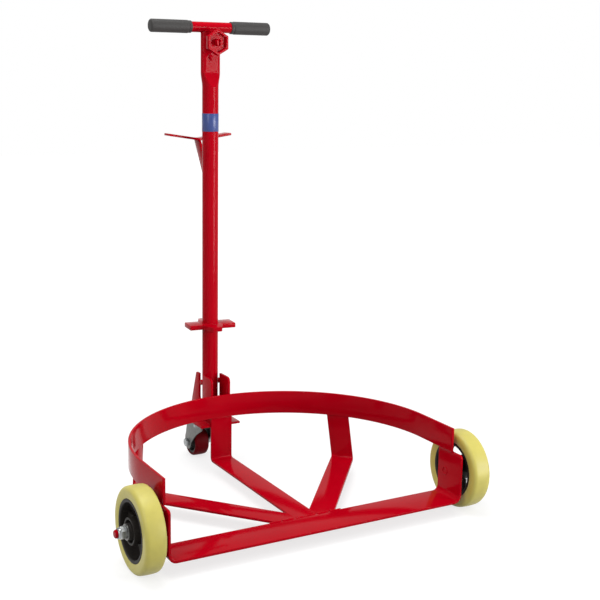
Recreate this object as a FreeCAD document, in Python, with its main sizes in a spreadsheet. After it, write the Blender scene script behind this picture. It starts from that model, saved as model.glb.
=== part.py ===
import FreeCAD, Part
import math
import os

import Sketcher

# Drum trolley: a low three-wheeled cradle for a 200 litre drum with a lift-out T-handled pole.
# X runs along the front bar, Y to the rear, Z up. The floor is Z = 0.

SIZES = [
    # Cradle
    ("hoop_y", -156.25, "hoop centre, along Y from the origin"),
    ("hoop_bore", 625, "inner diameter of the hoop"),
    ("strap_w", 50, "width of the hoop and brace strap"),
    ("strap_t", 5, "thickness of the hoop and brace strap"),
    ("hoop_z", 126, "underside of the hoop above the floor"),
    ("hoop_tail", 108, "straight end of the hoop in front of its centre"),
    ("bar_w", 75, "width of the front bar"),
    ("bar_t", 5, "thickness of the front bar"),
    ("bar_z", 26, "underside of the front bar above the floor"),
    ("bar_rear", 62, "rear edge of the front bar in front of the hoop centre"),
    ("tab_step", 2.5, "inner face of the tab outside the hoop's inner face"),
    ("tab_corner", 8, "rounding of the tab's front top corner"),
    ("bend_r", 8, "inner radius of the bends"),
    ("leg_set", 1.5, "brace leg's front face behind the hoop's inner face"),
    ("brace_angle", 39, "side brace leg's place round the hoop, from X, degrees"),
    ("brace_skew", 12, "side brace's turn from the hoop's radius, degrees"),
    ("leg_lean", 8, "side brace leg's lean along the hoop, degrees"),
    # Front wheels
    ("wheel_d", 160, "front wheel diameter"),
    ("spacer_len", 6.7, "axle spacer between the tab and the wheel"),
    ("axle_front", 85.5, "front axle in front of the hoop centre"),
    ("axle_d", 16, "front axle diameter"),
    ("tread_w", 40, "width of the tread"),
    ("tread_round", 8, "rounding of the tread's shoulders"),
    ("tread_t", 22, "thickness of the tread on the hub"),
    ("rim_w", 39, "width of the hub's rim"),
    ("rim_wall", 7, "thickness of the hub's rim"),
    ("web_w", 8, "thickness of the hub's spokes"),
    ("spoke_w", 35, "width of the hub's spokes"),
    ("window_edge", 2, "web left at the boss and at the rim beside a window"),
    ("spoke_count", 3, "number of spokes"),
    ("left_spoke", 0, "turn of the left wheel's first spoke, degrees"),
    ("right_spoke", 20, "turn of the right wheel's first spoke, degrees"),
    ("boss_d", 50, "diameter of the hub's boss"),
    ("boss_len", 49, "length of the hub's boss"),
    ("bush_d", 25, "outer diameter of the wheel bush"),
    ("spacer_d", 26, "axle spacer diameter"),
    ("axle_washer_d", 30, "axle washer diameter"),
    ("axle_washer_t", 3, "axle washer thickness"),
    ("axle_nut_w", 22, "axle nut across flats"),
    ("axle_nut_t", 16, "axle nut height"),
    ("axle_past", 5, "axle thread past the nut"),
    ("axle_tip", 1.6, "chamfer of the axle's tip"),
    # Clearances
    ("side_gap", 0.3, "side clearance beside a turning hub"),
    ("bore_gap", 0.05, "radial clearance of a shaft in its bore"),
    ("hole_gap", 0.5, "radial clearance of a bolt in its hole"),
    ("race_gap", 0.3, "clearance between the balls and the upper race"),
    # Castor plate and handle socket
    ("plate_z", 104, "underside of the castor plate above the floor"),
    ("plate_w", 95, "width of the castor plate"),
    ("plate_len", 128, "length of the castor plate"),
    ("plate_t", 5, "thickness of the castor plate"),
    ("ear_t", 5, "thickness of the handle ears"),
    ("ear_gap", 0.75, "clearance between the pole and each ear"),
    ("ear_rise", 103, "height of the ears above the plate"),
    ("ear_round", 10, "rounding of the ear's front top corner"),
    ("ear_foot", 115, "length of the ear's foot"),
    ("prong_w", 14.5, "width of the rear prong at its top"),
    ("slot_w", 19, "width of the ear's slot"),
    ("slot_floor", 41, "floor of the slot above the plate"),
    # Castor
    ("king_back", 82, "swivel axis behind the rear leg"),
    ("castor_d", 65, "castor wheel diameter"),
    ("castor_w", 34, "castor tread width"),
    ("castor_trail", 44.5, "castor axle behind the swivel axis"),
    ("castor_top_w", 90, "castor top plate along X"),
    ("castor_top_len", 88, "castor top plate along Y"),
    ("castor_top_t", 3.5, "castor top plate thickness"),
    ("mount_inset_w", 10, "mounting bolts inside the top plate's edge along X"),
    ("mount_inset_len", 12, "mounting bolts inside the top plate's edge along Y"),
    ("mount_d", 8, "mounting bolt diameter"),
    ("mount_nut_w", 13, "mounting bolt and nut across flats"),
    ("mount_nut_t", 6.5, "mounting nut height"),
    ("mount_head_t", 5.3, "mounting bolt head height"),
    ("mount_washer_d", 16, "mounting washer diameter"),
    ("mount_washer_t", 1.6, "mounting washer thickness"),
    ("mount_past", 2.5, "mounting bolt thread past the nut"),
    ("race_d", 60, "outer diameter of the ball race"),
    ("race_t", 3, "thickness of the upper race"),
    ("ball_d", 6, "diameter of the balls"),
    ("ball_circle", 44, "diameter of the ball circle"),
    ("ball_count", 18, "number of balls"),
    ("groove_deep", 1.5, "depth of the ball grooves"),
    ("crown_t", 4, "thickness of the fork's crown"),
    ("fork_t", 3.5, "thickness of the fork legs"),
    ("fork_eye", 15.5, "radius of the fork round the axle"),
    ("fork_drop", 9, "rear shoulder of the fork below the crown's top"),
    ("fork_rear", 1.5, "rear shoulder of the fork behind the axle"),
    ("fork_lip", 14.5, "front corner of the fork below the crown's top"),
    ("fork_waist", 39.5, "bend of the fork's front edge in front of the axle"),
    ("fork_throat", 35.5, "bend of the fork's front edge below the crown's top"),
    ("king_d", 12, "king bolt diameter"),
    ("king_head_d", 20, "king bolt head diameter"),
    ("king_nut_w", 19, "king nut across flats"),
    ("king_nut_t", 8, "king nut height"),
    ("king_past", 2, "king bolt thread past the nut"),
    ("castor_axle_d", 10, "castor axle bolt diameter"),
    ("castor_nut_w", 17, "castor axle bolt and nut across flats"),
    ("castor_nut_t", 8, "castor axle nut height"),
    ("castor_head_t", 6.4, "castor axle bolt head height"),
    ("castor_past", 3, "castor axle thread past the nut"),
    ("sleeve_d", 15, "castor axle sleeve diameter"),
    ("castor_bush_d", 20, "castor bush outer diameter"),
    ("castor_boss_d", 28, "castor core boss diameter"),
    ("castor_boss_len", 40, "castor core boss length"),
    ("castor_tread_t", 6, "thickness of the castor tread on its core"),
    ("castor_rim_w", 30, "castor core rim width"),
    ("castor_rim_wall", 5, "castor core rim thickness"),
    ("castor_web_w", 10, "castor core web thickness"),
    ("castor_round", 4, "rounding of the castor tread"),
    # Handle
    ("pole_back", 55.5, "pole axis behind the rear leg"),
    ("pole_d", 35, "pole tube diameter"),
    ("pole_wall", 2.5, "pole tube wall"),
    ("foot_t", 4, "flange of the pole's foot plug"),
    ("foot_spigot", 22, "spigot of the foot plug inside the pole"),
    ("pin_d", 12, "cross pin diameter"),
    ("pin_rise", 84, "cross pin above the castor plate"),
    ("flat_w", 44, "width of the pole's flattened top"),
    ("flat_deep", 16, "depth of the pole's flattened top"),
    ("flat_len", 90, "flattened length of the pole below the cross bar's axis"),
    ("flat_taper", 34, "length over which the pole flattens"),
    ("bar_top_z", 965, "cross bar axis above the floor"),
    ("bar_top_d", 22, "cross bar diameter"),
    ("bar_top_wall", 2, "cross bar wall"),
    ("bar_top_len", 267, "cross bar length"),
    ("grip_d", 27, "grip diameter"),
    ("grip_len", 92, "grip length"),
    ("grip_end", 4, "closed end of the grip"),
    ("grip_round", 3, "rounding of the grip's end"),
    ("grip_collar", 5, "tapered collar at the grip's inner end"),
    ("key_w", 46, "bung key across flats"),
    ("key_rim", 5, "bung key rim"),
    ("key_t", 12, "bung key thickness"),
    ("key_deep", 7, "recess in the bung key"),
    ("key_drop", 31.5, "bung key axis below the cross bar's axis"),
    ("key_out", 40.5, "bung key face in front of the pole axis"),
    ("stub_d", 22, "bung key stub diameter"),
    ("stub_end_d", 14, "stub end inside the bung key"),
    ("stub_end_len", 13, "stub end past the recess floor"),
    ("stub_slot_w", 3.5, "slot across the stub's end"),
    ("stub_slot_deep", 5, "depth of the slot across the stub's end"),
    ("lug_rise", 208.5, "underside of the lugged plate above the castor plate"),
    ("lug_t", 10, "thickness of the lugged plate"),
    ("lug_reach", 52.5, "reach of the side lugs from the pole axis"),
    ("lug_w", 43, "width of the side lugs"),
    ("tongue_reach", 50.5, "reach of the front and rear lugs from the pole axis"),
    ("tongue_tip", 21, "width of the front and rear lugs at their tips"),
    ("lug_turn", -6, "turn of the lugged plate, degrees"),
    ("hook_drop", 239.5, "rim hook's underside below the cross bar's axis"),
    ("hook_t", 5, "thickness of the rim hook"),
    ("hook_half", 73.5, "half span of the rim hook"),
    ("hook_rise", 11, "rise of the rim hook's tips"),
    ("hook_deep", 31.5, "depth of the rim hook"),
    ("hook_back", 47, "front edge of the rim hook behind the pole axis"),
    ("strut_t", 5, "thickness of the hook strut"),
    ("strut_foot", 101.5, "lower end of the strut on the pole below the hook"),
    ("strut_head", 50, "upper end of the strut on the pole below the hook"),
    ("strut_in", 5.5, "front corner of the strut behind the hook's front edge"),
    ("label_rise", 22.5, "lower edge of the plain label above the hook's underside"),
    ("label_h", 38, "height of the plain label"),
    ("label_t", 0.3, "thickness of the plain label"),
    ("label_gap", 0.05, "glue gap under the plain label"),
    ("label_wrap", 250, "wrap of the plain label, degrees"),
]

doc = FreeCAD.newDocument("drum_trolley")
sheet = doc.addObject("Spreadsheet::Sheet", "Sizes")
for row, (alias, number, note) in enumerate(SIZES, 1):
    sheet.set("A%d" % row, alias)
    sheet.set("B%d" % row, str(number))
    sheet.set("C%d" % row, note)
    sheet.setAlias("B%d" % row, alias)
doc.recompute()

NODES = []


def split(text):
    """Break a sum such as "a + b/2 - c" into (sign, name or number, divisor) terms."""
    found = []
    for term in text.replace("- ", "-").replace("+ ", "+").split():
        name, _, divisor = term.lstrip("+-").partition("/")
        found.append((-1 if term.startswith("-") else 1, name, divisor or "1"))
    return found


def number_of(text):
    """Value of such a sum at the sheet's present sizes."""
    total = 0.0
    for sign, name, divisor in split(text):
        amount = sheet.get(name) if name[0].isalpha() else float(name)
        total += sign * amount / float(divisor)
    return total


def bound(text):
    """The same sum as an expression that stays tied to the sheet."""
    parts = []
    for sign, name, divisor in split(text):
        owner = "Sizes." + name if name[0].isalpha() else name
        parts.append("%s %s / %s" % ("-" if sign < 0 else "+", owner, divisor))
    return "0 " + " ".join(parts)


def minus(text):
    """The same sum with every sign turned."""
    return " ".join("%s%s/%s" % ("-" if sign > 0 else "+", name, divisor)
                    for sign, name, divisor in split(text))


def plus(first, second):
    """Two such sums added up."""
    return first + (" " if second[0] in "+-" else " + ") + second


def place(item, x="0", y="0", z="0", axis=None, angle=None):
    """Tie an object's place, and its turn about one axis, to the sheet."""
    if axis:
        item.Placement = FreeCAD.Placement(
            FreeCAD.Vector(), FreeCAD.Rotation(FreeCAD.Vector(*axis), 1))
        item.setExpression("Placement.Rotation.Angle", bound(angle))
    for letter, text in zip("xyz", (x, y, z)):
        item.setExpression("Placement.Base." + letter, bound(text))
    return item


def node(item, label):
    """Name a finished sub-part and list it for writing."""
    item.Label = label
    NODES.append(item)
    return item


def new_body(name):
    return doc.addObject("PartDesign::Body", name)


def sketch(body, plane, name, lift="0"):
    """Sketch on one of the body's own origin planes, lifted along that plane's normal."""
    item = body.newObject("Sketcher::SketchObject", name)
    support = [f for f in body.Origin.OriginFeatures if f.Role == plane][0]
    item.AttachmentSupport = (support, [""])
    item.MapMode = "FlatFace"
    item.setExpression("AttachmentOffset.Base.z", bound(lift))
    return item


def fix(item, kind, geometry, point, text):
    """Tie a point's distance from the sketch origin to the sheet."""
    index = item.addConstraint(
        Sketcher.Constraint(kind, -1, 1, geometry, point, number_of(text)))
    item.setExpression("Constraints[%d]" % index, bound(text))


def outline(item, points, arcs=None):
    """Closed outline through the points; arcs maps a segment to its centre and turning sense."""
    arcs = arcs or {}
    count = len(points)
    spots = [FreeCAD.Vector(number_of(x), number_of(y), 0) for x, y in points]
    ids = []
    ends = []
    for i in range(count):
        a, b = spots[i], spots[(i + 1) % count]
        if i in arcs:
            cx, cy, ccw = arcs[i]
            centre = FreeCAD.Vector(number_of(cx), number_of(cy), 0)
            first, last = (a, b) if ccw else (b, a)
            start = math.atan2(first.y - centre.y, first.x - centre.x)
            stop = math.atan2(last.y - centre.y, last.x - centre.x)
            ring = Part.Circle(centre, FreeCAD.Vector(0, 0, 1), (first - centre).Length)
            ids.append(item.addGeometry(Part.ArcOfCircle(ring, start, stop)))
            ends.append((1, 2) if ccw else (2, 1))
        else:
            ids.append(item.addGeometry(Part.LineSegment(a, b)))
            ends.append((1, 2))
    for i in range(count):
        j = (i + 1) % count
        item.addConstraint(
            Sketcher.Constraint("Coincident", ids[i], ends[i][1], ids[j], ends[j][0]))
    for i, (x, y) in enumerate(points):
        fix(item, "DistanceX", ids[i], ends[i][0], x)
        fix(item, "DistanceY", ids[i], ends[i][0], y)
        if i in arcs:
            chord = spots[(i + 1) % count] - spots[i]
            if abs(chord.x) < abs(chord.y):
                fix(item, "DistanceX", ids[i], 3, arcs[i][0])
            else:
                fix(item, "DistanceY", ids[i], 3, arcs[i][1])


def circle(item, x, y, radius):
    """Circle with its centre and radius tied to the sheet."""
    centre = FreeCAD.Vector(number_of(x), number_of(y), 0)
    ring = Part.Circle(centre, FreeCAD.Vector(0, 0, 1), number_of(radius))
    index = item.addGeometry(ring)
    fix(item, "DistanceX", index, 3, x)
    fix(item, "DistanceY", index, 3, y)
    size = item.addConstraint(Sketcher.Constraint("Radius", index, number_of(radius)))
    item.setExpression("Constraints[%d]" % size, bound(radius))


def pad(body, profile, name, length, middle=False, flip=False):
    feature = body.newObject("PartDesign::Pad", name)
    feature.Profile = profile
    feature.setExpression("Length", bound(length))
    feature.SideType = "Symmetric" if middle else "One side"
    feature.Reversed = flip
    return feature


def pocket(body, profile, name, length=None, middle=True):
    """Cut through everything both ways, or to a length shared by both sides."""
    feature = body.newObject("PartDesign::Pocket", name)
    feature.Profile = profile
    feature.SideType = "Symmetric" if middle else "One side"
    if length:
        feature.setExpression("Length", bound(length))
    else:
        feature.Type = "ThroughAll"
    return feature


def turn(body, profile, name, axis):
    """Turn a profile full circle about one of its sketch axes."""
    feature = body.newObject("PartDesign::Revolution", name)
    feature.Profile = profile
    feature.ReferenceAxis = (profile, [axis])
    feature.Angle = 360
    return feature


def turned(name, points, arcs=None, plane="XZ_Plane", axis="H_Axis"):
    """Body turned from one profile."""
    body = new_body(name)
    profile = sketch(body, plane, name + "_profile")
    outline(profile, points, arcs)
    turn(body, profile, name + "_turn", axis)
    return body


def ring(name, outer, inner, length, plane="YZ_Plane", middle=True):
    """Plain ring, washer or sleeve along the plane's normal."""
    body = new_body(name)
    profile = sketch(body, plane, name + "_profile")
    circle(profile, "0", "0", outer)
    circle(profile, "0", "0", inner)
    pad(body, profile, name + "_pad", length, middle)
    return body


def cylinder(name, radius, height):
    item = doc.addObject("Part::Cylinder", name)
    item.setExpression("Radius", bound(radius))
    item.setExpression("Height", bound(height))
    return item


def block(name, size, corner):
    """Plain box from its three sizes and its lowest corner."""
    item = doc.addObject("Part::Box", name)
    for side, text in zip(("Length", "Width", "Height"), size):
        item.setExpression(side, bound(text))
    return place(item, *corner)


def join(kind, name, base, tool):
    """Boolean of two objects."""
    item = doc.addObject(kind, name)
    item.Base = base
    item.Tool = tool
    return item


def hexagon(name, width, height):
    """Chamfered hexagon standing on the XY plane."""
    prism = doc.addObject("Part::Prism", name + "_prism")
    prism.Polygon = 6
    prism.setExpression("Circumradius", "Sizes.%s / sqrt(3)" % width)
    prism.setExpression("Height", bound(height))
    cone = turned(name + "_cone", [
        ("0", "0"), (width + "/2.1", "0"), (width + "/1.6", height + "/6"),
        (width + "/1.6", height + " - " + height + "/6"), (width + "/2.1", height), ("0", height)],
        axis="V_Axis")
    return join("Part::Common", name + "_hex", prism, cone)


def nut(name, width, height, bore):
    """Hexagon nut standing on the XY plane with a plain bore."""
    blank = hexagon(name, width, height)
    drill = cylinder(name + "_bore", bore, height)
    return join("Part::Cut", name, blank, drill)


def bolt(name, width, head, shank, length):
    """Hexagon bolt with its head above the XY plane and its shank below."""
    top = hexagon(name, width, head)
    stem = cylinder(name + "_shank", shank, length)
    place(stem, z=minus(length))
    return join("Part::Fuse", name, top, stem)


def group(label, items):
    """One node of several equal solids."""
    item = doc.addObject("Part::Compound", label)
    item.Links = items
    return node(item, label)


HOOP_IN = "hoop_bore/2"
HOOP_OUT = "hoop_bore/2 + strap_t"
LEG_IN = "hoop_bore/2 + leg_set"
LEG_OUT = "hoop_bore/2 + leg_set + strap_t"
TAB_IN = "hoop_bore/2 + tab_step"
TAB_OUT = "hoop_bore/2 + tab_step + bar_t"
PLATE_TOP = "plate_z + plate_t"
POLE_BACK = LEG_OUT + " + pole_back"
KING_BACK = LEG_OUT + " + king_back"

# Hoop: half ring with straight ends
hoop = new_body("hoop_body")
hoop_line = sketch(hoop, "XY_Plane", "hoop_line")
outline(hoop_line, [
    (HOOP_IN, "-hoop_tail"), (HOOP_OUT, "-hoop_tail"), (HOOP_OUT, "0"),
    ("-hoop_bore/2 - strap_t", "0"), ("-hoop_bore/2 - strap_t", "-hoop_tail"),
    ("-hoop_bore/2", "-hoop_tail"), ("-hoop_bore/2", "0"), (HOOP_IN, "0")],
    {2: ("0", "0", True), 6: ("0", "0", False)})
pad(hoop, hoop_line, "hoop_pad", "strap_w")
node(place(hoop, "0", "hoop_y", "hoop_z"), "hoop")

# Front bar: flat with both ends bent up into wheel tabs that carry the hoop's ends
front = new_body("front_body")
front_line = sketch(front, "XZ_Plane", "front_line")
TAB_TOP = "hoop_z - bar_z"
outline(front_line, [
    ("-hoop_bore/2 - tab_step + bend_r", "bar_t"), ("hoop_bore/2 + tab_step - bend_r", "bar_t"),
    (TAB_IN, "bar_t + bend_r"), (TAB_IN, TAB_TOP), (TAB_OUT, TAB_TOP), (TAB_OUT, "bar_t + bend_r"),
    ("hoop_bore/2 + tab_step - bend_r", "0"), ("-hoop_bore/2 - tab_step + bend_r", "0"),
    ("-hoop_bore/2 - tab_step - bar_t", "bar_t + bend_r"),
    ("-hoop_bore/2 - tab_step - bar_t", TAB_TOP), ("-hoop_bore/2 - tab_step", TAB_TOP),
    ("-hoop_bore/2 - tab_step", "bar_t + bend_r")],
    {1: ("hoop_bore/2 + tab_step - bend_r", "bar_t + bend_r", True),
     5: ("hoop_bore/2 + tab_step - bend_r", "bar_t + bend_r", False),
     7: ("-hoop_bore/2 - tab_step + bend_r", "bar_t + bend_r", False),
     11: ("-hoop_bore/2 - tab_step + bend_r", "bar_t + bend_r", True)})
pad(front, front_line, "front_pad", "bar_w")
AXLE_BACK = "bar_rear - axle_front"
front_holes = sketch(front, "YZ_Plane", "front_holes")
circle(front_holes, AXLE_BACK, "wheel_d/2 - bar_z", "axle_d/2 + bore_gap")
pocket(front, front_holes, "front_drill")
front_corner = sketch(front, "YZ_Plane", "front_corner")
outline(front_corner, [
    ("-bar_w", TAB_TOP), ("-bar_w", TAB_TOP + " - tab_corner"), ("-bar_w + tab_corner", TAB_TOP)],
    {1: ("-bar_w + tab_corner", TAB_TOP + " - tab_corner", False)})
pocket(front, front_corner, "front_round")
node(place(front, "0", "hoop_y - bar_rear", "bar_z"), "front_bar")


def brace_blank(name, start, width):
    """Strap lying level from the start and bent up into a leg under the hoop."""
    body = new_body(name + "_body")
    line = sketch(body, "YZ_Plane", name + "_line")
    foot = LEG_IN + " - bend_r"
    lift = "strap_t + bend_r"
    outline(line, [
        (start, "0"), (foot, "0"), (LEG_OUT, lift), (LEG_OUT, TAB_TOP), (LEG_IN, TAB_TOP),
        (LEG_IN, lift), (foot, "strap_t"), (start, "strap_t")],
        {1: (foot, lift, True), 5: (foot, lift, False)})
    pad(body, line, name + "_pad", width, True)
    return body


# Rear brace: straight back from the front bar to the leg in front of the castor
rear = brace_blank("rear_brace", "-bar_rear", "strap_w")
node(place(rear, "0", "hoop_y", "bar_z"), "rear_brace")

# Side braces: the bend follows the hoop, so the strap leaves it at a skew and the leg leans
side_blank = brace_blank("side_brace", "-bar_rear - strap_w", "hoop_bore/2")
slab = new_body("side_slab")
slab_disc = sketch(slab, "YZ_Plane", "side_slab_disc")
circle(slab_disc, "0", "0", "hoop_bore")
slab_pad = pad(slab, slab_disc, "side_slab_pad", "strap_w", True)
ACROSS = "sqrt(1 + tan(Sizes.brace_skew) ^ 2 + tan(Sizes.leg_lean) ^ 2)"
slab_pad.setExpression("Length", "Sizes.strap_w / cos(Sizes.brace_skew) / " + ACROSS)
place(slab, "0", LEG_IN, "0", (0, -1, 1), "0")
slab.setExpression("Placement.Rotation.Axis.y", "-tan(Sizes.leg_lean)")
slab.setExpression("Placement.Rotation.Axis.z", "tan(Sizes.brace_skew)")
slab.setExpression("Placement.Rotation.Angle", "acos(1 / %s)" % ACROSS)
side_strip = join("Part::Common", "side_strip", side_blank, slab)
place(side_strip, "0", "hoop_y", "bar_z", (0, 0, 1), "brace_angle - 90")

trim_front = block("trim_front", ("hoop_bore", "hoop_bore", "hoop_z"),
                   ("-hoop_bore/2", "hoop_y - bar_rear - hoop_bore", "0"))
trim_side = block("trim_side", ("hoop_bore", "hoop_bore", "hoop_z"),
                  ("strap_w/2 - hoop_bore", "hoop_y - hoop_bore/2", "0"))
side_cut = join("Part::Cut", "side_cut", side_strip, trim_front)
right_brace = node(join("Part::Cut", "right_brace", side_cut, trim_side), "right_brace")
left_brace = doc.addObject("Part::Mirroring", "left_brace")
left_brace.Source = right_brace
left_brace.Normal = FreeCAD.Vector(1, 0, 0)
node(left_brace, "left_brace")

# Castor plate: flat behind the rear leg, with the castor's bolt holes
KING = "hoop_y + " + KING_BACK
plate = new_body("plate_body")
plate_line = sketch(plate, "XY_Plane", "plate_line")
PLATE_BACK = LEG_OUT + " + plate_len"
outline(plate_line, [
    ("-plate_w/2", LEG_OUT), ("plate_w/2", LEG_OUT), ("plate_w/2", PLATE_BACK),
    ("-plate_w/2", PLATE_BACK)])
MOUNT_X = "castor_top_w/2 - mount_inset_w"
MOUNT_Y = "castor_top_len/2 - mount_inset_len"
MOUNT_SPOTS = [(x, y) for x in (MOUNT_X, minus(MOUNT_X)) for y in (MOUNT_Y, minus(MOUNT_Y))]
for x, y in MOUNT_SPOTS:
    circle(plate_line, x, plus(KING_BACK, y), "mount_d/2 + hole_gap")
pad(plate, plate_line, "plate_pad", "plate_t")
node(place(plate, "0", "hoop_y", "plate_z"), "castor_plate")

# Handle ears: slotted plates on both sides of the pole, standing on the castor plate
SLOT_FRONT = POLE_BACK + " - slot_w/2"
SLOT_BACK = POLE_BACK + " + slot_w/2"
for label, x in (("left_ear", "-pole_d/2 - ear_gap - ear_t"), ("right_ear", "pole_d/2 + ear_gap")):
    ear = new_body(label + "_body")
    ear_line = sketch(ear, "YZ_Plane", label + "_line")
    outline(ear_line, [
        (LEG_OUT, "0"), (LEG_OUT + " + ear_foot", "0"), (SLOT_BACK + " + prong_w", "ear_rise"),
        (SLOT_BACK, "ear_rise"), (SLOT_BACK, "slot_floor + slot_w/2"),
        (SLOT_FRONT, "slot_floor + slot_w/2"), (SLOT_FRONT, "ear_rise"),
        (LEG_OUT + " + ear_round", "ear_rise"), (LEG_OUT, "ear_rise - ear_round")],
        {4: (POLE_BACK, "slot_floor + slot_w/2", False),
         7: (LEG_OUT + " + ear_round", "ear_rise - ear_round", True)})
    pad(ear, ear_line, label + "_pad", "ear_t")
    node(place(ear, x, "hoop_y", PLATE_TOP), label)

# Front wheels with their welded axle studs
AXLE = ("hoop_y - axle_front", "wheel_d/2")
HUB_IN = TAB_OUT + " + spacer_len + side_gap"
HUB_OUT = HUB_IN + " + boss_len"
WHEEL = HUB_IN + " + boss_len/2"
WASHER_IN = HUB_OUT + " + side_gap"
NUT_IN = WASHER_IN + " + axle_washer_t"
AXLE_END = NUT_IN + " + axle_nut_t + axle_past"
HUB_R = "wheel_d/2 - tread_t"
RIM_IN = HUB_R + " - rim_wall"
STUD = plus(AXLE_END, minus(TAB_IN))


def spoke(label, i):
    """Bar along one spoke, from the wheel's axis to its rim."""
    bar = block("%s_spoke_%d" % (label, i), ("rim_w", HUB_R, "spoke_w"),
                ("-rim_w/2", "0", "-spoke_w/2"))
    arm = doc.addObject("Part::Compound", "%s_arm_%d" % (label, i))
    arm.Links = [bar]
    place(arm, axis=(1, 0, 0), angle="0")
    arm.setExpression("Placement.Rotation.Angle",
                      "Sizes.%s_spoke + %d * 360 / Sizes.spoke_count" % (label, i))
    return arm


def outward(item, side, text, axis=(0, 0, 1), right="0", left="180"):
    """Put a piece on the front axle at one side of the trolley, its length pointing outwards."""
    if side == "right":
        return place(item, text, *AXLE, axis=axis, angle=right)
    return place(item, minus(text), *AXLE, axis=axis, angle=left)


spacers, washers, nuts = [], [], []
for label in ("left", "right"):
    stud = turned(label + "_axle_body", [
        ("0", "0"), (STUD, "0"), (STUD, "axle_d/2 - axle_tip"), (STUD + " - axle_tip", "axle_d/2"),
        ("0", "axle_d/2")])
    node(outward(stud, label, TAB_IN), label + "_axle")
    tube = ring(label + "_spacer", "spacer_d/2", "axle_d/2 + bore_gap", "spacer_len", middle=False)
    spacers.append(outward(tube, label, TAB_OUT))
    disc = ring(label + "_washer", "axle_washer_d/2", "axle_d/2 + bore_gap", "axle_washer_t",
                middle=False)
    washers.append(outward(disc, label, WASHER_IN))
    hex_nut = nut(label + "_nut", "axle_nut_w", "axle_nut_t", "axle_d/2 + bore_gap")
    nuts.append(outward(hex_nut, label, NUT_IN, (0, 1, 0), "90", "-90"))

    tread = turned(label + "_tread_body", [
        ("-tread_w/2", HUB_R), ("tread_w/2", HUB_R),
        ("tread_w/2", "wheel_d/2 - tread_round"), ("tread_w/2 - tread_round", "wheel_d/2"),
        ("-tread_w/2 + tread_round", "wheel_d/2"), ("-tread_w/2", "wheel_d/2 - tread_round")],
        {2: ("tread_w/2 - tread_round", "wheel_d/2 - tread_round", True),
         4: ("-tread_w/2 + tread_round", "wheel_d/2 - tread_round", True)})
    node(outward(tread, label, WHEEL), label + "_tread")

    hub = turned(label + "_hub_body", [
        ("-boss_len/2", "bush_d/2"), ("boss_len/2", "bush_d/2"), ("boss_len/2", "boss_d/2"),
        ("web_w/2", "boss_d/2"), ("web_w/2", RIM_IN), ("rim_w/2", RIM_IN), ("rim_w/2", HUB_R),
        ("-rim_w/2", HUB_R), ("-rim_w/2", RIM_IN), ("-web_w/2", RIM_IN),
        ("-web_w/2", "boss_d/2"), ("-boss_len/2", "boss_d/2")])
    spokes = doc.addObject("Part::MultiFuse", label + "_spokes")
    spokes.Shapes = [spoke(label, i) for i in range(int(sheet.get("spoke_count")))]
    band = ring(label + "_window_band", RIM_IN + " - window_edge", "boss_d/2 + window_edge", "rim_w")
    windows = join("Part::Cut", label + "_windows", band, spokes)
    hub = join("Part::Cut", label + "_hub_part", hub, windows)
    node(outward(hub, label, WHEEL), label + "_hub")

    bush = ring(label + "_bush_body", "bush_d/2", "axle_d/2 + bore_gap", "boss_len")
    node(outward(bush, label, WHEEL), label + "_bush")
group("axle_spacers", spacers)
group("axle_washers", washers)
group("axle_nuts", nuts)

# Castor: bolted top plate with the upper race and the king bolt
TOP_LOW = "plate_z - castor_top_t"
RACE_LOW = TOP_LOW + " - race_t"
CROWN_TOP = RACE_LOW + " + groove_deep + groove_deep - ball_d"
BALL_MID = RACE_LOW + " + groove_deep - ball_d/2"
CROWN_LOW = CROWN_TOP + " - crown_t"
top = new_body("castor_top_body")
top_line = sketch(top, "XY_Plane", "castor_top_line")
outline(top_line, [
    ("-castor_top_w/2", "-castor_top_len/2"), ("castor_top_w/2", "-castor_top_len/2"),
    ("castor_top_w/2", "castor_top_len/2"), ("-castor_top_w/2", "castor_top_len/2")])
for x, y in MOUNT_SPOTS:
    circle(top_line, x, y, "mount_d/2 + hole_gap")
pad(top, top_line, "castor_top_pad", "castor_top_t")
race_line = sketch(top, "XY_Plane", "castor_race_line", "-race_t")
circle(race_line, "0", "0", "race_d/2")
pad(top, race_line, "castor_race_pad", "race_t")
sink_line = sketch(top, "XZ_Plane", "castor_sink_line")
outline(sink_line, [
    ("0", "castor_top_t"), ("0", "-race_t"), ("king_d/2 + bore_gap", "-race_t"),
    ("king_d/2 + bore_gap", "0"), ("king_head_d/2 + bore_gap", "castor_top_t")])
sink = top.newObject("PartDesign::Groove", "castor_sink")
sink.Profile = sink_line
sink.ReferenceAxis = (sink_line, ["V_Axis"])
sink.Angle = 360
groove_line = sketch(top, "XZ_Plane", "castor_groove_line")
circle(groove_line, "ball_circle/2", "-race_t + groove_deep - ball_d/2", "ball_d/2 + race_gap")
groove = top.newObject("PartDesign::Groove", "castor_groove")
groove.Profile = groove_line
groove.ReferenceAxis = (groove_line, ["V_Axis"])
groove.Angle = 360
node(place(top, "0", KING, TOP_LOW), "castor_top_plate")

KING_NUT_TOP = CROWN_LOW + " - side_gap"
KING_END = KING_NUT_TOP + " - king_nut_t - king_past"
king = turned("king_bolt_body", [
    ("0", "0"), ("king_head_d/2", "0"), ("king_d/2", "-castor_top_t"),
    ("king_d/2", KING_END + " - plate_z"), ("0", KING_END + " - plate_z")], axis="V_Axis")
node(place(king, "0", KING, "plate_z"), "king_bolt")
king_nut = nut("king_nut_part", "king_nut_w", "king_nut_t", "king_d/2 + bore_gap")
node(place(king_nut, "0", KING, KING_NUT_TOP + " - king_nut_t"), "king_nut")

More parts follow.
